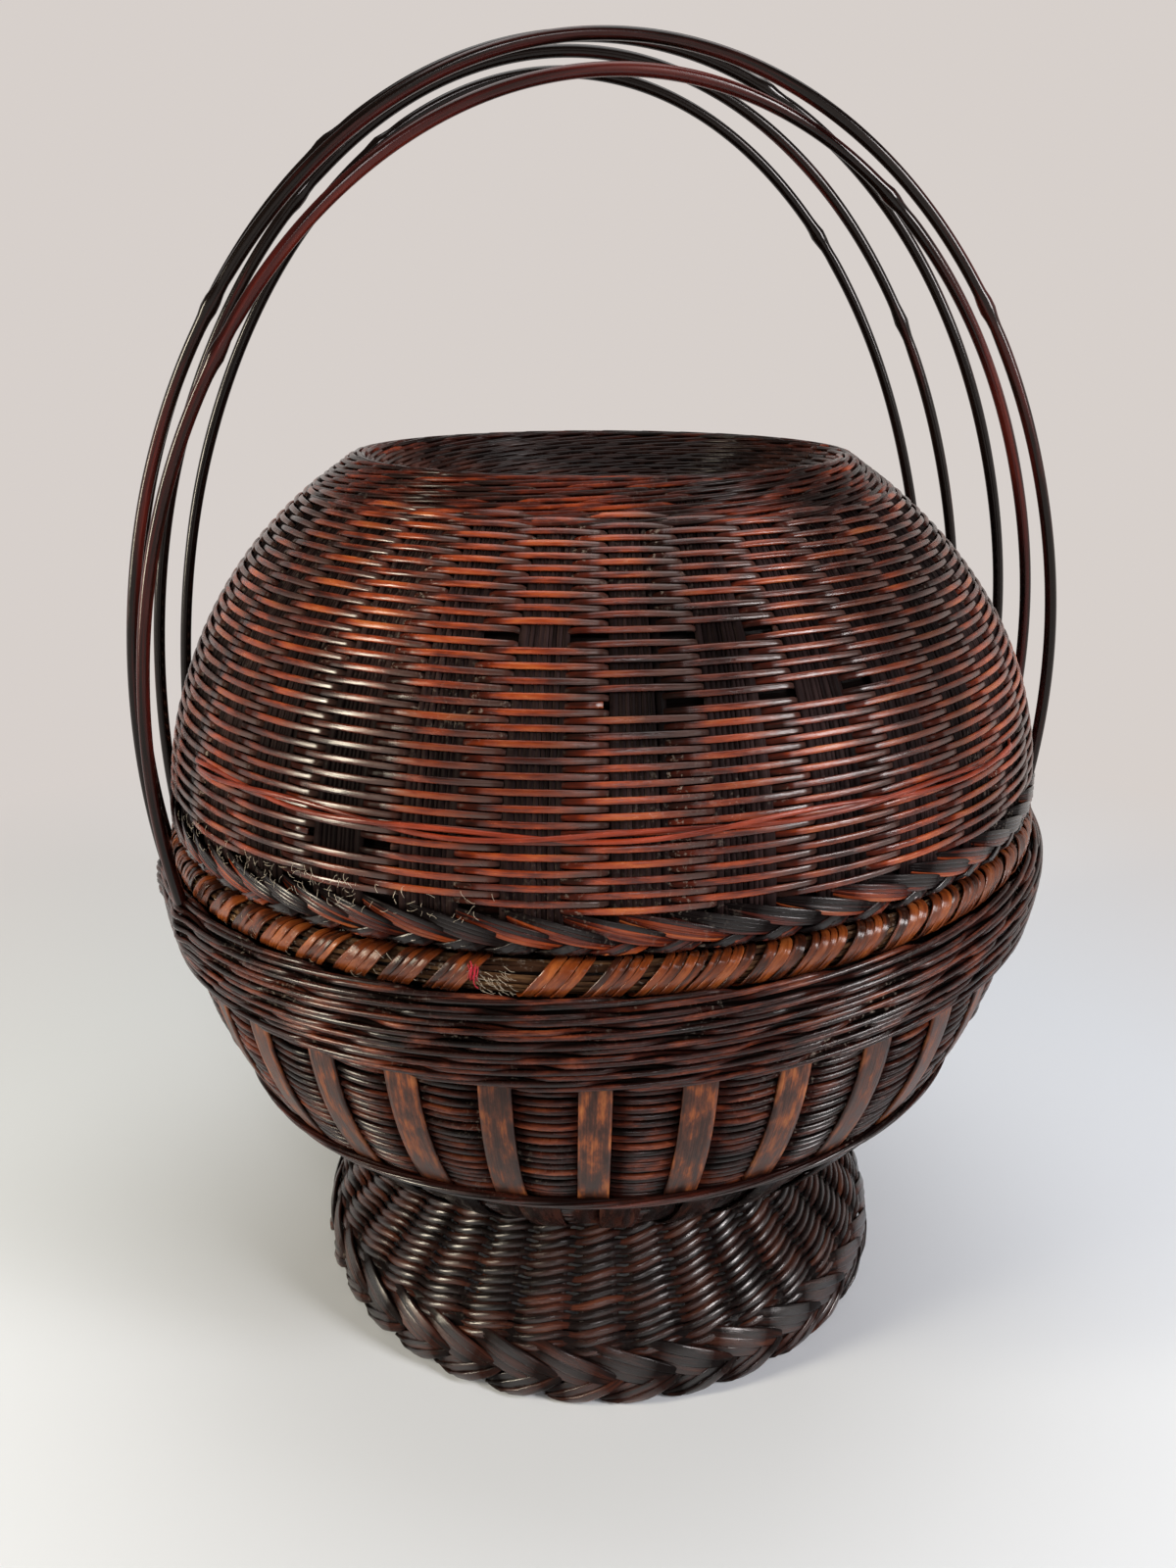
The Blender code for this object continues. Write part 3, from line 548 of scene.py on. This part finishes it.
# The lip rolls over from the dome into the well in waled rows
lipForm = {"swing": 0.00055, "rise": 0.0021, "halfHigh": 0.00068, "halfThick": 0.0005, "perStake": 9,
           "stagger": 0.21, "stray": 0.00012, "pitch": 0.00235}
lipHeights = np.linspace(0.23, 0.2352, 6)
lipShare = ((lipHeights - domeForm["bottom"]) / domeForm["semi"]) ** domeForm["power"]
lipCurve = list(zip(domeForm["radius"] * np.sqrt(1 - lipShare), lipHeights))
lipCurve += [(0.0668, 0.237), (0.065, 0.2382), (0.0632, 0.2385), (0.0616, 0.2377), (0.0606, 0.2362),
             (0.0598, 0.2342)]
lipProfile = newProfile(lipCurve)
waledRows("lidLip", lipProfile, np.arange(0.0004, lipProfile["length"], lipForm["pitch"]), lipForm,
          ("lipCane", lidBody, "plaited_edge", "lid_top_roll"), phase=lidStake, seed=7, out=-0.0009)

# The sunk well: the stakes turn down and inwards, and finer rows cross them
wellForm = {"mouth": 0.0607, "top": 0.2362, "floor": 0.2196, "flat": 0.45, "hub": 0.004}
curve = np.linspace(0, 1, 24)[:, None]
flatEdge = wellForm["mouth"] * wellForm["flat"]
bendPoint = np.array([flatEdge + (wellForm["mouth"] - flatEdge) / 3, wellForm["floor"]])
wellBend = ((1 - curve) ** 2 * np.array([flatEdge, wellForm["floor"]])
            + 2 * curve * (1 - curve) * bendPoint
            + curve ** 2 * np.array([wellForm["mouth"], wellForm["top"]]))
wellProfile = newProfile([tuple(point) for point in wellBend[::-1]]
                         + [(wellForm["hub"], wellForm["floor"])])
wellWeave = {**weaveForm, "pitch": 0.0016, "halfHigh": 0.00072, "halfClose": 0.0008, "swing": 0.0005,
             "lift": -0.0004, "rowsPerPiece": 60}
wellRows = {**lipForm, "swing": 0.0005, "pitch": 0.0022, "depth": 0.02}
waledRows("wellRows", wellProfile, np.arange(0.0012, wellRows["depth"], wellRows["pitch"]), wellRows,
          wellPart, phase=lidStake, seed=9, out=-0.0006)
weaveSpiral("wellWeave", wellProfile, wellWeave, wellPart, phase=lidStake, seed=5,
            start=wellRows["depth"])
stakeGroups("wellStakes", wellProfile, {**splintForm, "fine": 2, "stations": 16, "share": 0.5},
            wellPart, phase=lidStake, seed=6, out=-0.0004)
lining("wellLining", wellProfile, 0.0018, lidBody, "lid_well")

# The collar under the lid drops inside the rim
collarForm = {"swing": 0.00055, "rise": 0.0008, "halfHigh": 0.0015, "halfThick": 0.0005,
              "perStake": 8}
collarProfile = newProfile([(0.1092, 0.1412), (0.1092, 0.1525), (0.113, 0.157)])
twinedRows("lidCollar", collarProfile, np.linspace(0.001, collarProfile["length"] - 0.001, 8),
           collarForm, ("darkCane", lidBody, "dark_cane", "lid_collar"), seed=8)


def addRing(bundle, radius, height, halfOut, halfHigh, sides=12):
    angle = np.linspace(0, 2 * pi, 181)
    addStrand(bundle, polar(radius, angle, height), polar(1, angle, 0), halfHigh, halfOut, sides, 0.0, 0.0)


def petals(bundle, profile, form, noise):
    # Long slanted splints, split lengthwise, that rise over the next and tuck under
    t = np.linspace(0, 1, form["steps"])
    for index in range(form["count"]):
        first = 2 * pi * (index + form["shift"]) / form["count"] + noise.normal(0, form["stray"])
        angle = first + form["sweep"] * 2 * pi / form["count"] * t
        ends = np.array(form["ends"]) + noise.normal(0, form["stray"] * 0.04, 2)
        place = ends[0] + (ends[1] - ends[0]) * t
        radius = profileAt(profile, place)[0]
        sideways, upwards = np.gradient(angle) * radius, np.gradient(place)
        size = np.hypot(sideways, upwards)
        taper = np.clip(np.sin(pi * (0.04 + 0.92 * t)), 0, 1) ** form["point"]
        tint = noise.random()
        for split in range(form["splits"]):
            side = (split + 0.5) / form["splits"] - 0.5
            off = side * form["broad"] * taper
            out = (form["out"] + form["swell"] * np.sin(pi * t) ** 0.8 + form["tilt"] * side
                   + noise.normal(0, 0.00006))
            half = form["broad"] / form["splits"] / 2 * taper * 1.2
            streak = tint * 0.6 + 0.2 - form["streaky"] * side * 2 + noise.normal(0, 0.12)
            addStrand(bundle, *onProfile(profile, place + sideways / size * off,
                                         angle - upwards / size * off / radius, out),
                      half, form["thick"], 8, np.clip(streak, 0, 1), np.sin(pi * t), t, square=0.5)


def plait(name, profile, rings, forms, part, seed):
    # Petals stand out from solid rings
    bundle, noise = begin(seed)
    for ring in rings:
        addRing(bundle, *ring)
    for form in forms:
        petals(bundle, profile, form, noise)
    addPiece(name, bundle, *part)


# Plaited edge of the lid: glossy petals fall to the right, and short ends turn under them
lidEdgeProfile = newProfile([(0.1148, 0.1488), (0.1166, 0.149), (0.1177, 0.1504), (0.1178, 0.153),
                             (0.1174, 0.156), (0.117, 0.159), (0.1166, 0.1625)])
# They are flat enough to pass the handle canes when the lid lifts
lidEdgeForm = {"count": 66, "shift": 0.0, "sweep": 2.45, "ends": (0.0116, 0.0046), "splits": 4,
               "broad": 0.0038, "point": 0.46, "streaky": 0.34, "swell": 0.0019, "tilt": 0.0006,
               "out": -0.002, "thick": 0.00035, "steps": 16, "stray": 0.004}
lidEndForm = {**lidEdgeForm, "sweep": 1.15, "ends": (0.0006, 0.0064), "splits": 2, "broad": 0.0036,
              "swell": 0.0009, "tilt": 0.0003, "point": 0.25, "shift": 0.55, "steps": 8,
              "out": -0.0016}
plait("lidEdgePlait", lidEdgeProfile, [(0.1142, 0.1534, 0.002, 0.004)], (lidEndForm, lidEdgeForm),
      ("plaitedEdge", lidBody, "plaited_edge", "lid_edge_braid"), 11)

# Two loose red canes run round the front over three or four stake groups at a time
floatForm = {"start": -163, "stop": -46, "place": 0.0192, "swing": 0.00085, "radius": 0.00058,
             "stakes": 3.4, "lift": 0.00055, "wave": 0.00075, "sunk": 0.0012, "drift": 0.0007}
for number in range(2):
    bundle = newBundle()
    t = np.linspace(0, 1, 260)
    angle = np.radians(floatForm["start"] + (floatForm["stop"] - floatForm["start"]) * t)
    wave = angle * stakeCount / floatForm["stakes"] + pi * number
    place = (floatForm["place"] + floatForm["swing"] * np.sin(wave)
             + floatForm["drift"] * np.sin(t * 11))
    ends = smoothStep(np.minimum(t, 1 - t) / 0.03)
    out = ((floatForm["sunk"] + floatForm["lift"] + floatForm["wave"] * np.cos(wave)) * ends
           - floatForm["sunk"])
    addStrand(bundle, *onProfile(domeProfile, place, angle, out), floatForm["radius"],
              floatForm["radius"] * 0.85, 8, 0.35 + 0.35 * number, 0.9)
    addPiece(f"looseCane{number + 1}", bundle, "redCane", lidBody, "red_cane",
             f"lid_float_cane_{number + 1}")
print("lid ready")


# Bowl: every weft passes behind all slats and bulges between them
bowlForm = {"radius": 0.1158, "widest": 0.128, "semi": 0.09957, "bottom": 0.0412, "top": 0.1396}
bowlProfile = ellipseProfile(bowlForm["radius"], bowlForm["widest"], bowlForm["semi"],
                             bowlForm["bottom"], bowlForm["top"])
ribForm = {"pitch": 0.00238, "sunk": -0.0016, "bulge": 0.002, "halfHigh": 0.00083,
           "halfThick": 0.0008, "perStake": 10, "low": 0.044, "high": 0.124}
bundle, noise = begin(21)
angle = np.linspace(0, 2 * pi, stakeCount * ribForm["perStake"] + 1)
between = np.abs(np.sin(stakeCount / 2 * (angle - frontSlat)))
number = np.floor((angle - frontSlat) * stakeCount / (2 * pi)).astype(int) + stakeCount
low, high = placeAt(bowlProfile, (ribForm["low"], ribForm["high"]))
for row, place in enumerate(np.arange(low, high, ribForm["pitch"])):
    # Each bay of a weft bulges by its own amount
    own = noise.uniform(0.85, 1.12, stakeCount * 3)[number]
    lift = ribForm["sunk"] + ribForm["bulge"] * own * between ** 0.55
    stray = noise.normal(0, 0.00016, stakeCount * 3)[number] * between
    addStrand(bundle, *onProfile(bowlProfile, place + stray, angle, lift),
              ribForm["halfHigh"] * noise.uniform(0.93, 1.05), ribForm["halfThick"], 6,
              noise.random(stakeCount * 3)[number], between, seed=row)
addPiece("bowlRibs", bundle, "bowlRibs", basketBody, "woven_cane", "bowl_wall")
lining("bowlLining", bowlProfile, 0.0028, basketBody, "bowl_wall")

slatForm = {"halfWide": 0.0039, "halfThick": 0.00042, "out": 0.00075, "low": 0.077, "high": 0.1235,
            "drift": 0.006}
plateForm = {"low": 0.0435, "high": 0.08, "out": 0.0012, "share": 1.06, "tilt": 0.0011,
             "halfThick": 0.00045}
bundle, noise = begin(22)
plates = newBundle()
place, tuck = (np.linspace(*placeAt(bowlProfile, (form["low"], form["high"])), steps)
               for form, steps in ((slatForm, 26), (plateForm, 14)))
for index in range(stakeCount):
    angle = frontSlat + 2 * pi * index / stakeCount + noise.normal(0, 0.003)
    drift = noise.normal(0, slatForm["drift"]) * np.linspace(1, 0, len(place))
    addStrand(bundle, *onProfile(bowlProfile, place, angle + drift, slatForm["out"]),
              slatForm["halfWide"] * noise.uniform(0.94, 1.06), slatForm["halfThick"], 8,
              noise.random(), 0.8, square=0.35)
    # Below the tie ring each slat spreads into a dark plate that laps over the next
    radius = profileAt(bowlProfile, tuck)[0]
    half = pi * radius / stakeCount * plateForm["share"]
    for side in (-0.5, 0.5):
        turn = angle + side * half / radius + noise.normal(0, slatForm["drift"])
        addStrand(plates, *onProfile(bowlProfile, tuck, turn,
                                     plateForm["out"] + side * plateForm["tilt"]),
                  half * 0.53, plateForm["halfThick"], 6, noise.random(), 0.3, square=0.6)
addPiece("slats", bundle, "wornSlats", basketBody, "bamboo_slat",
         *(f"slat_{number + 1:02d}" for number in range(stakeCount)))
addPiece("lowerPlates", plates, "footCane", basketBody, "dark_cane", "bowl_wall")

tieForm = {"height": 0.08, "strands": 6, "twists": 7, "spread": 0.0015, "out": 0.002,
           "radius": 0.00062, "wander": 0.0004, "depth": 0.0007}
bundle, noise = begin(23)
angle = np.linspace(0, 2 * pi, 1000)
middle = placeAt(bowlProfile, tieForm["height"])
for strand in range(tieForm["strands"]):
    twist = angle * tieForm["twists"] + 2 * pi * strand / tieForm["strands"]
    wander = tieForm["wander"] * np.sin(angle * (5 + strand) + strand * 2.1)
    place = middle + tieForm["spread"] * np.sin(twist) + wander
    out = tieForm["out"] + tieForm["depth"] * np.cos(twist)
    addStrand(bundle, *onProfile(bowlProfile, place, angle, out), tieForm["radius"],
              tieForm["radius"] * 0.75, 6, noise.random(), 0.5 + 0.5 * np.cos(twist))
addPiece("tieRing", bundle, "tieCane", basketBody, "dark_cane", "slat_tie_ring")

# The handle canes end in the upper rows of the band
caneForm = {"radius": 0.00152, "endRadius": 0.1208, "endHeight": 0.1396, "rise": 0.1916,
            "outstand": 0.0026, "depth": 0.0085, "swell": 1.3, "bulge": 0.0013, "bulgeWide": 0.0042,
            "pathRadius": 0.0016}
# Left and right end in degrees, height and breadth of the bow, joints along it, and how red it is
canes = [(182.0, -17.0, 0.999, 1.0, (0.253, 0.747), 0.55),
         (176.0, -0.3, 1.02, 1.0, (0.34, 0.6), 0.3),
         (168.0, 9.2, 1.019, 0.31, (0.308, 0.762), 0.25),
         (197.5, -7.2, 0.957, 1.0, (0.243, 0.659), 0.85),
         (160.0, 15.6, 1.007, 0.062, (0.36, 0.704), 0.1)]


def caneBulge(place, angle):
    # The band's upper rows swell over the cane ends
    swell = angle * 0
    reach = smoothStep((place - 0.0075) / 0.003) * (1 - smoothStep((place - 0.0185) / 0.002))
    for cane in canes:
        for end in cane[:2]:
            away = (angle - radians(end) + pi) % (2 * pi) - pi
            swell += caneForm["bulge"] * reach * np.exp(
                -(away * caneForm["endRadius"] / caneForm["bulgeWide"]) ** 2)
    return swell


bandForm = {"rows": 7, "pitch": 0.00332, "swing": 0.00075, "rise": 0.0024, "halfHigh": 0.0007,
            "halfThick": 0.0006, "perStake": 12, "stagger": 0.27, "stray": 0.00022}
bandProfile = newProfile([(0.1192, 0.1188), (0.12, 0.1215), (0.1211, 0.1275), (0.1217, 0.133),
                          (0.1216, 0.1368), (0.1204, 0.1398), (0.1186, 0.1412)])
waledRows("twinedBand", bandProfile, 0.0022 + bandForm["pitch"] * np.arange(bandForm["rows"]), bandForm,
          ("bowlRibs", basketBody, "woven_cane", "twined_band"), seed=24, bulge=caneBulge, out=-0.0008)

# The rim: a dark lining, worn filler canes that show between the wraps, and the lashing
lashForm = {"wraps": 66, "middle": 0.1149, "height": 0.144, "halfOut": 0.0031, "halfHigh": 0.0039,
            "slant": 0.0027, "spread": 0.0086, "thick": 0.00022, "steps": 30}
fillerForm = {"count": 9, "out": 0.0025, "up": 0.0033, "halfWide": 0.00062, "halfThick": 0.0003}
wornWraps = (-117.2, -113.2)         # here the lashing has worn away, in degrees
bundle = newBundle()
# Near-black rings behind the band rows: painted shade for the hollow behind them
for height in np.arange(0.1205, 0.14, 0.0022):
    radius = np.interp(height, bandProfile["points"][:, 1], bandProfile["points"][:, 0])
    addRing(bundle, radius - 0.0022, height, 0.0005, 0.0017, sides=6)
addRing(bundle, lashForm["middle"], lashForm["height"], 0.0023, 0.0031)
addPiece("bandLining", bundle, "darkCane", basketBody, "dark_cane", "twined_band")

bundle, noise = begin(41)
angle = np.linspace(0, 2 * pi, 400)
for turn in np.linspace(-1.5, 1.5, fillerForm["count"]):
    wander = turn + 0.12 * np.sin(angle * int(noise.integers(7, 15)) + noise.uniform(0, 6))
    line = polar(lashForm["middle"] + fillerForm["out"] * np.cos(wander), angle,
                 lashForm["height"] + fillerForm["up"] * np.sin(wander))
    addStrand(bundle, line, polar(1, angle, np.sin(wander)), fillerForm["halfWide"],
              fillerForm["halfThick"], 6, noise.random(), 0.2)
addPiece("rimFiller", bundle, "rimFiller", basketBody, "split_cane_lashing", "rim_lashing")


def canePath(left, right, crown, bow):
    start, stop = (polar(caneForm["endRadius"], radians(end), 0) for end in (left, right))
    middle = (start + stop) / 2
    along = (stop - start) / np.linalg.norm(stop - start)
    upright = max(abs(start[0]), abs(stop[0])) + caneForm["pathRadius"] * along[0]
    widest = caneForm["endRadius"] + caneForm["pathRadius"] + caneForm["outstand"]
    reach = upright + (widest - upright) * bow
    wide = (reach - abs(middle[0])) / along[0] - caneForm["pathRadius"]
    tuck = np.arccos(np.linalg.norm(stop - start) / 2 / wide)
    rise = caneForm["rise"] * crown / (1 + sin(tuck))
    angle = np.linspace(-tuck, pi + tuck, 220)
    line = middle + np.outer(-wide * np.cos(angle), along)
    line[:, 2] = caneForm["endHeight"] + rise * sin(tuck) + rise * np.sin(angle)
    first = unit(line[0] - line[1]) * caneForm["depth"]
    last = unit(line[-1] - line[-2]) * caneForm["depth"]
    line = np.concatenate([[line[0] + first], line, [line[-1] + last]])
    share = np.concatenate([[0], np.linspace(0, 1, len(angle)), [1]])
    return lean(line), np.cross([0, 0, 1], along), share


for number, (*course, nodes, tint) in enumerate(canes):
    bundle = newBundle()
    line, level, share = canePath(*course)
    radius = np.full(len(line), caneForm["radius"])
    for node in nodes:
        away = (share - node) / 0.005
        radius *= 1 + (caneForm["swell"] - 1) * np.exp(-away ** 2) - 0.08 * np.exp(-((away - 2.2) ** 2))
    radius *= 1 + 0.02 * np.sin(share * 37 + tint * 9)
    addStrand(bundle, line, level, radius, radius, 16, tint, seed=number)
    addPiece(f"handleCane{number + 1}", bundle, "lacqueredCane", basketBody, "lacquered_cane",
             f"handle_cane_{number + 1}", leans=False)

# Rim lashing: two to four flat strips side by side wind round the hoops, rising to the right
bundle, noise = begin(25)
t = np.linspace(-0.5, 0.5, lashForm["steps"] + 1)
around = 2 * pi * t
corner = (np.abs(np.cos(around)) ** 3 + np.abs(np.sin(around)) ** 3) ** (-1 / 3)
for wrap in range(lashForm["wraps"]):
    degrees = (360 * wrap / lashForm["wraps"] + 180) % 360 - 180
    if wornWraps[0] < degrees < wornWraps[1]:
        continue
    strips = int(noise.integers(2, 5))
    widths = noise.uniform(0.8, 1.2, strips)
    widths = widths / widths.sum() * lashForm["spread"] * noise.uniform(0.86, 1.12)
    start = -widths.sum() / 2 + noise.normal(0, 0.0004)
    for width in widths:
        shift = start + width / 2
        start += width
        slant = lashForm["slant"] * np.sin(around)
        turn = 2 * pi * (wrap + 0.5 * t) / lashForm["wraps"] + (slant + shift) / lashForm["middle"]
        lift = noise.normal(0, 0.00008)
        radius = lashForm["middle"] + (lashForm["halfOut"] * corner + lift) * np.cos(around)
        height = lashForm["height"] + (lashForm["halfHigh"] * corner + lift) * np.sin(around)
        addStrand(bundle, polar(radius, turn, height), polar(np.cos(around), turn, np.sin(around)),
                  width * 0.4, lashForm["thick"], 8, noise.random(), 0.5 + 0.5 * np.cos(around),
                  square=0.3)
addPiece("rimLashing", bundle, "splitLashing", basketBody, "split_cane_lashing", "rim_lashing")

# Foot: twined rows on the flared wall, over a herringbone plait
footProfile = newProfile([(0.0824, 0.015), (0.0792, 0.0207), (0.0745, 0.025), (0.069, 0.0297),
                          (0.0645, 0.0348), (0.0615, 0.0394), (0.06, 0.044)])
footForm = {"swing": 0.001, "rise": 0.0013, "halfHigh": 0.00135, "halfThick": 0.0007,
            "perStake": 12}
footPart = ("footCane", basketBody, "dark_cane", "foot_wall")
twinedRows("footWeave", footProfile, np.arange(0.0008, footProfile["length"] - 0.0006, 0.00235),
           footForm, footPart, seed=26, out=-0.001)
stakeGroups("footStakes", footProfile, {**splintForm, "fine": 1, "share": 0.75, "stations": 14},
            footPart, seed=30, out=-0.0011)

footEdgeProfile = newProfile([(0.0826, 0.0003), (0.084, 0.0008), (0.0849, 0.003), (0.085, 0.0065),
                              (0.0843, 0.0104), (0.0824, 0.0148), (0.0798, 0.0186), (0.0768, 0.022)])
footUpperForm = {"count": 33, "shift": 0.0, "sweep": 1.75, "ends": (0.0178, 0.0076), "splits": 3,
                 "broad": 0.0076, "point": 0.26, "swell": 0.0014, "tilt": 0.0016, "out": -0.001,
                 "streaky": 0.1, "thick": 0.0005, "steps": 16, "stray": 0.008}
footLowerForm = {**footUpperForm, "shift": 0.45, "sweep": 1.3, "ends": (0.0014, 0.0108),
                 "broad": 0.007, "tilt": -0.0016, "swell": 0.0009, "out": -0.0009}
plait("footPlait", footEdgeProfile, [(0.0792, 0.0098, 0.0034, 0.0088), (0.0765, 0.0165, 0.0022, 0.005)],
      (footLowerForm, footUpperForm), ("footCane", basketBody, "plaited_edge", "foot_border"), 27)

# The bowl's bottom, and the hoops that stay as the solids have them
basePart = ("darkCane", basketBody, "dark_cane", "bowl_base")
baseProfile = newProfile([(0.053, 0.0421), (0.006, 0.042)])
baseWeave = {**wellWeave, "pitch": 0.0021, "halfHigh": 0.0009, "halfClose": 0.00105, "lift": 0.0}
weaveSpiral("bowlBottom", baseProfile, baseWeave, basePart, stakes=21, seed=28)
stakeGroups("bottomStakes", baseProfile, {**splintForm, "fine": 2, "stations": 8, "share": 0.6},
            basePart, stakes=21, seed=29)
for hoop in ("rim_hoop_outer", "rim_hoop_inner"):
    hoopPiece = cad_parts[hoop]
    hoopPiece.data.materials.clear()
    hoopPiece.data.materials.append(materials["darkCane"])


# Lint has caught on the left of the lid's edge and in the worn lashing, with one red thread
lintForm = {"lidCount": 150, "rimCount": 80, "wornCount": 44, "length": 0.0022, "radius": 0.00004,
            "low": -166, "high": -112, "colour": (0.6, 0.52, 0.4)}
threadForm = {"count": 9, "radius": 0.1181, "height": 0.1455, "length": 0.0034, "thick": 0.00012,
              "colour": (0.62, 0.02, 0.05)}


def lintMaterial(name, colour):
    material, tree, shader, solid = newMaterial(name)
    fade = rampOn(tree, noiseOn(tree, solid, (400, 400, 400)), 0.3, 0.7)
    shade = tuple(value * 0.55 for value in colour)
    feed(tree, shader, {"Base Color": mixColour(tree, fade, colour, shade), "Roughness": 0.9})
    return material


def fibreAt(bundle, noise, spot, ahead, outward, length, radius):
    # A short curl that starts in the weave
    t = np.linspace(-1, 1, 9)[:, None]
    side = np.cross(ahead, outward)
    bend = noise.normal(0, 0.16, 2)
    line = spot + length / 2 * (t * ahead + (1 - t * t) * (outward * 0.22 + side * bend[0])
                                + t ** 3 * side * bend[1])
    addStrand(bundle, line, outward + side * 0.01, radius, radius, 4, noise.random(), 0.5)


noise = np.random.default_rng(31)
for name, body, count in (("lidLint", lidBody, lintForm["lidCount"]),
                          ("rimLint", basketBody, lintForm["rimCount"])):
    bundle = newBundle()
    for index in range(count):
        angle = radians(lintForm["low"] + (lintForm["high"] - lintForm["low"]) * noise.beta(1.4, 1.8))
        if body == lidBody:
            spot, normal = onProfile(lidEdgeProfile, noise.uniform(0.0098, 0.0165), angle, 0.0009)
            fall = noise.normal(0, 1.6)
        else:
            if index < lintForm["wornCount"]:
                angle = radians(noise.uniform(*wornWraps))
            normal = polar(1, angle, 0)
            spot = polar(lashForm["middle"] + 0.003, angle,
                         lashForm["height"] + noise.normal(0, 0.0016))
            fall = noise.normal(-0.8, 0.5)
        fibreAt(bundle, noise, spot, unit(np.array([-sin(angle), cos(angle), fall])), normal,
                lintForm["length"] * noise.uniform(0.3, 1.2), lintForm["radius"])
    materials[name] = lintMaterial(name, lintForm["colour"])
    addPiece(name, bundle, name, body, "dark_cane")
bundle = newBundle()
for index in range(threadForm["count"]):
    angle = radians(wornWraps[0] + noise.uniform(-0.9, 0.3))
    spot = polar(threadForm["radius"], angle, threadForm["height"] + noise.normal(0, 0.0009))
    fibreAt(bundle, noise, spot, unit(np.array([-0.2 * sin(angle), 0.2 * cos(angle), 1.0])),
            polar(1, angle, 0), threadForm["length"], threadForm["thick"])
materials["redThread"] = lintMaterial("redThread", threadForm["colour"])
addPiece("redThread", bundle, "redThread", basketBody, "red_cane")
print("basket ready")


# Room, light and camera
stageForm = {"floor": (0.775, 0.825, 0.87), "backdrop": (0.68, 0.63, 0.6), "fill": (0.92, 0.88, 0.86),
             "fillStrength": 0.12, "fade": (0.23, 0.52), "ceiling": 0.05, "wallTop": (0.21, 0.5),
             "mottle": 0.97, "size": 12.0, "gap": 0.0003}


def seenDirectly(tree):
    # 1 for rays that show the backdrop: straight, by gloss or through glass
    path = addNode(tree, "ShaderNodeLightPath").outputs
    either = mathNode(tree, "MAXIMUM", path["Is Camera Ray"], path["Is Glossy Ray"])
    return mathNode(tree, "MAXIMUM", either, path["Is Transmission Ray"])


def mixShaders(tree, output, share, *shaders):
    mix = addNode(tree, "ShaderNodeMixShader", share, *(shader.outputs[0] for shader in shaders))
    feed(tree, tree.nodes[output], {"Surface": mix.outputs[0]})


material, tree, shader, solid = newMaterial("paleFloor")
mottle = rampOn(tree, noiseOn(tree, solid, (3, 3, 3)), 0.2, 0.8)
shade = tuple(value * stageForm["mottle"] for value in stageForm["floor"])
feed(tree, shader, {"Base Color": mixColour(tree, mottle, stageForm["floor"], shade),
                    "Roughness": 0.6, "Specular IOR Level": 0.3})
# Away from the basket the floor runs out into the backdrop
away = addNode(tree, "ShaderNodeVectorMath", solid, operation="LENGTH").outputs["Value"]
backdrop = addNode(tree, "ShaderNodeEmission", stageForm["backdrop"], 1.0)
mixShaders(tree, "Material Output",
           product(tree, rampOn(tree, away, *stageForm["fade"]), seenDirectly(tree)), shader, backdrop)
mesh = bpy.data.meshes.new("floor")
size = stageForm["size"]
mesh.from_pydata([(-size, -size, 0), (size, -size, 0), (size, size, 0), (-size, size, 0)], [],
                 [(0, 1, 2, 3)])
mesh.materials.append(material)
floor = addObject("floor", mesh)
floor.location.z = cadBox[0][2] - stageForm["gap"]

# The camera sees a pale backdrop, and the basket a weaker fill
world = bpy.data.worlds.new("studio")
world.use_nodes = True
tree = world.node_tree
fill = tree.nodes["Background"]
feed(tree, fill, {"Color": stageForm["fill"], "Strength": stageForm["fillStrength"]})
# The backdrop is pale like the wall and darkens overhead
around = addNode(tree, "ShaderNodeTexCoord").outputs["Generated"]
height = addNode(tree, "ShaderNodeSeparateXYZ", around).outputs["Z"]
wall = mixColour(tree, rampOn(tree, height, *stageForm["wallTop"]), stageForm["backdrop"],
                 (stageForm["ceiling"],) * 3)
backdrop = addNode(tree, "ShaderNodeBackground", wall, 1.0)
mixShaders(tree, "World Output", seenDirectly(tree), fill, backdrop)
bpy.context.scene.world = world

# Azimuth in degrees, height, distance, size, power in watts and colour
lamps = {"windowLeft": (-172, 0.42, 0.9, (0.14, 0.5), 7.5, (1.0, 0.89, 0.7)),
         "windowRight": (-46, 0.62, 1.0, (0.2, 0.5), 9.5, (1.0, 0.95, 0.95)),
         "frontSoft": (-98, 0.78, 0.9, (0.18, 0.14), 1.4, (1.0, 0.93, 0.94)),
         "topSoft": (60, 1.2, 0.3, (1.0, 1.0), 6.5, (1.0, 0.98, 0.97))}
for name, (azimuth, height, distance, size, power, colour) in lamps.items():
    light = bpy.data.lights.new(name, "AREA")
    light.shape = "RECTANGLE"
    light.size, light.size_y = size
    light.energy = power
    light.color = colour
    lamp = addObject(name, light)
    lamp.location = polar(distance, radians(azimuth), height)
    lamp.rotation_euler = (Vector((0, 0, 0.15)) - lamp.location).to_track_quat("-Z", "Y").to_euler()

cameraForm = {"distance": 0.346, "height": 0.269, "pitch": 0.3455, "turn": radians(-15),
              "yaw": -0.0096, "focal": 1298.0, "imageHeight": 1600}
camera = bpy.data.cameras.new("camera")
camera.sensor_width = 36.0
camera.lens = cameraForm["focal"] * camera.sensor_width / cameraForm["imageHeight"]
camera.clip_start = 0.01
eye = addObject("camera", camera)
turn = cameraForm["turn"]
eye.location = (cameraForm["distance"] * sin(turn), -cameraForm["distance"] * cos(turn),
                cameraForm["height"])
eye.rotation_euler = (pi / 2 - cameraForm["pitch"], 0, turn - cameraForm["yaw"])
bpy.context.scene.camera = eye
bpy.context.scene.view_settings.view_transform = "Standard"
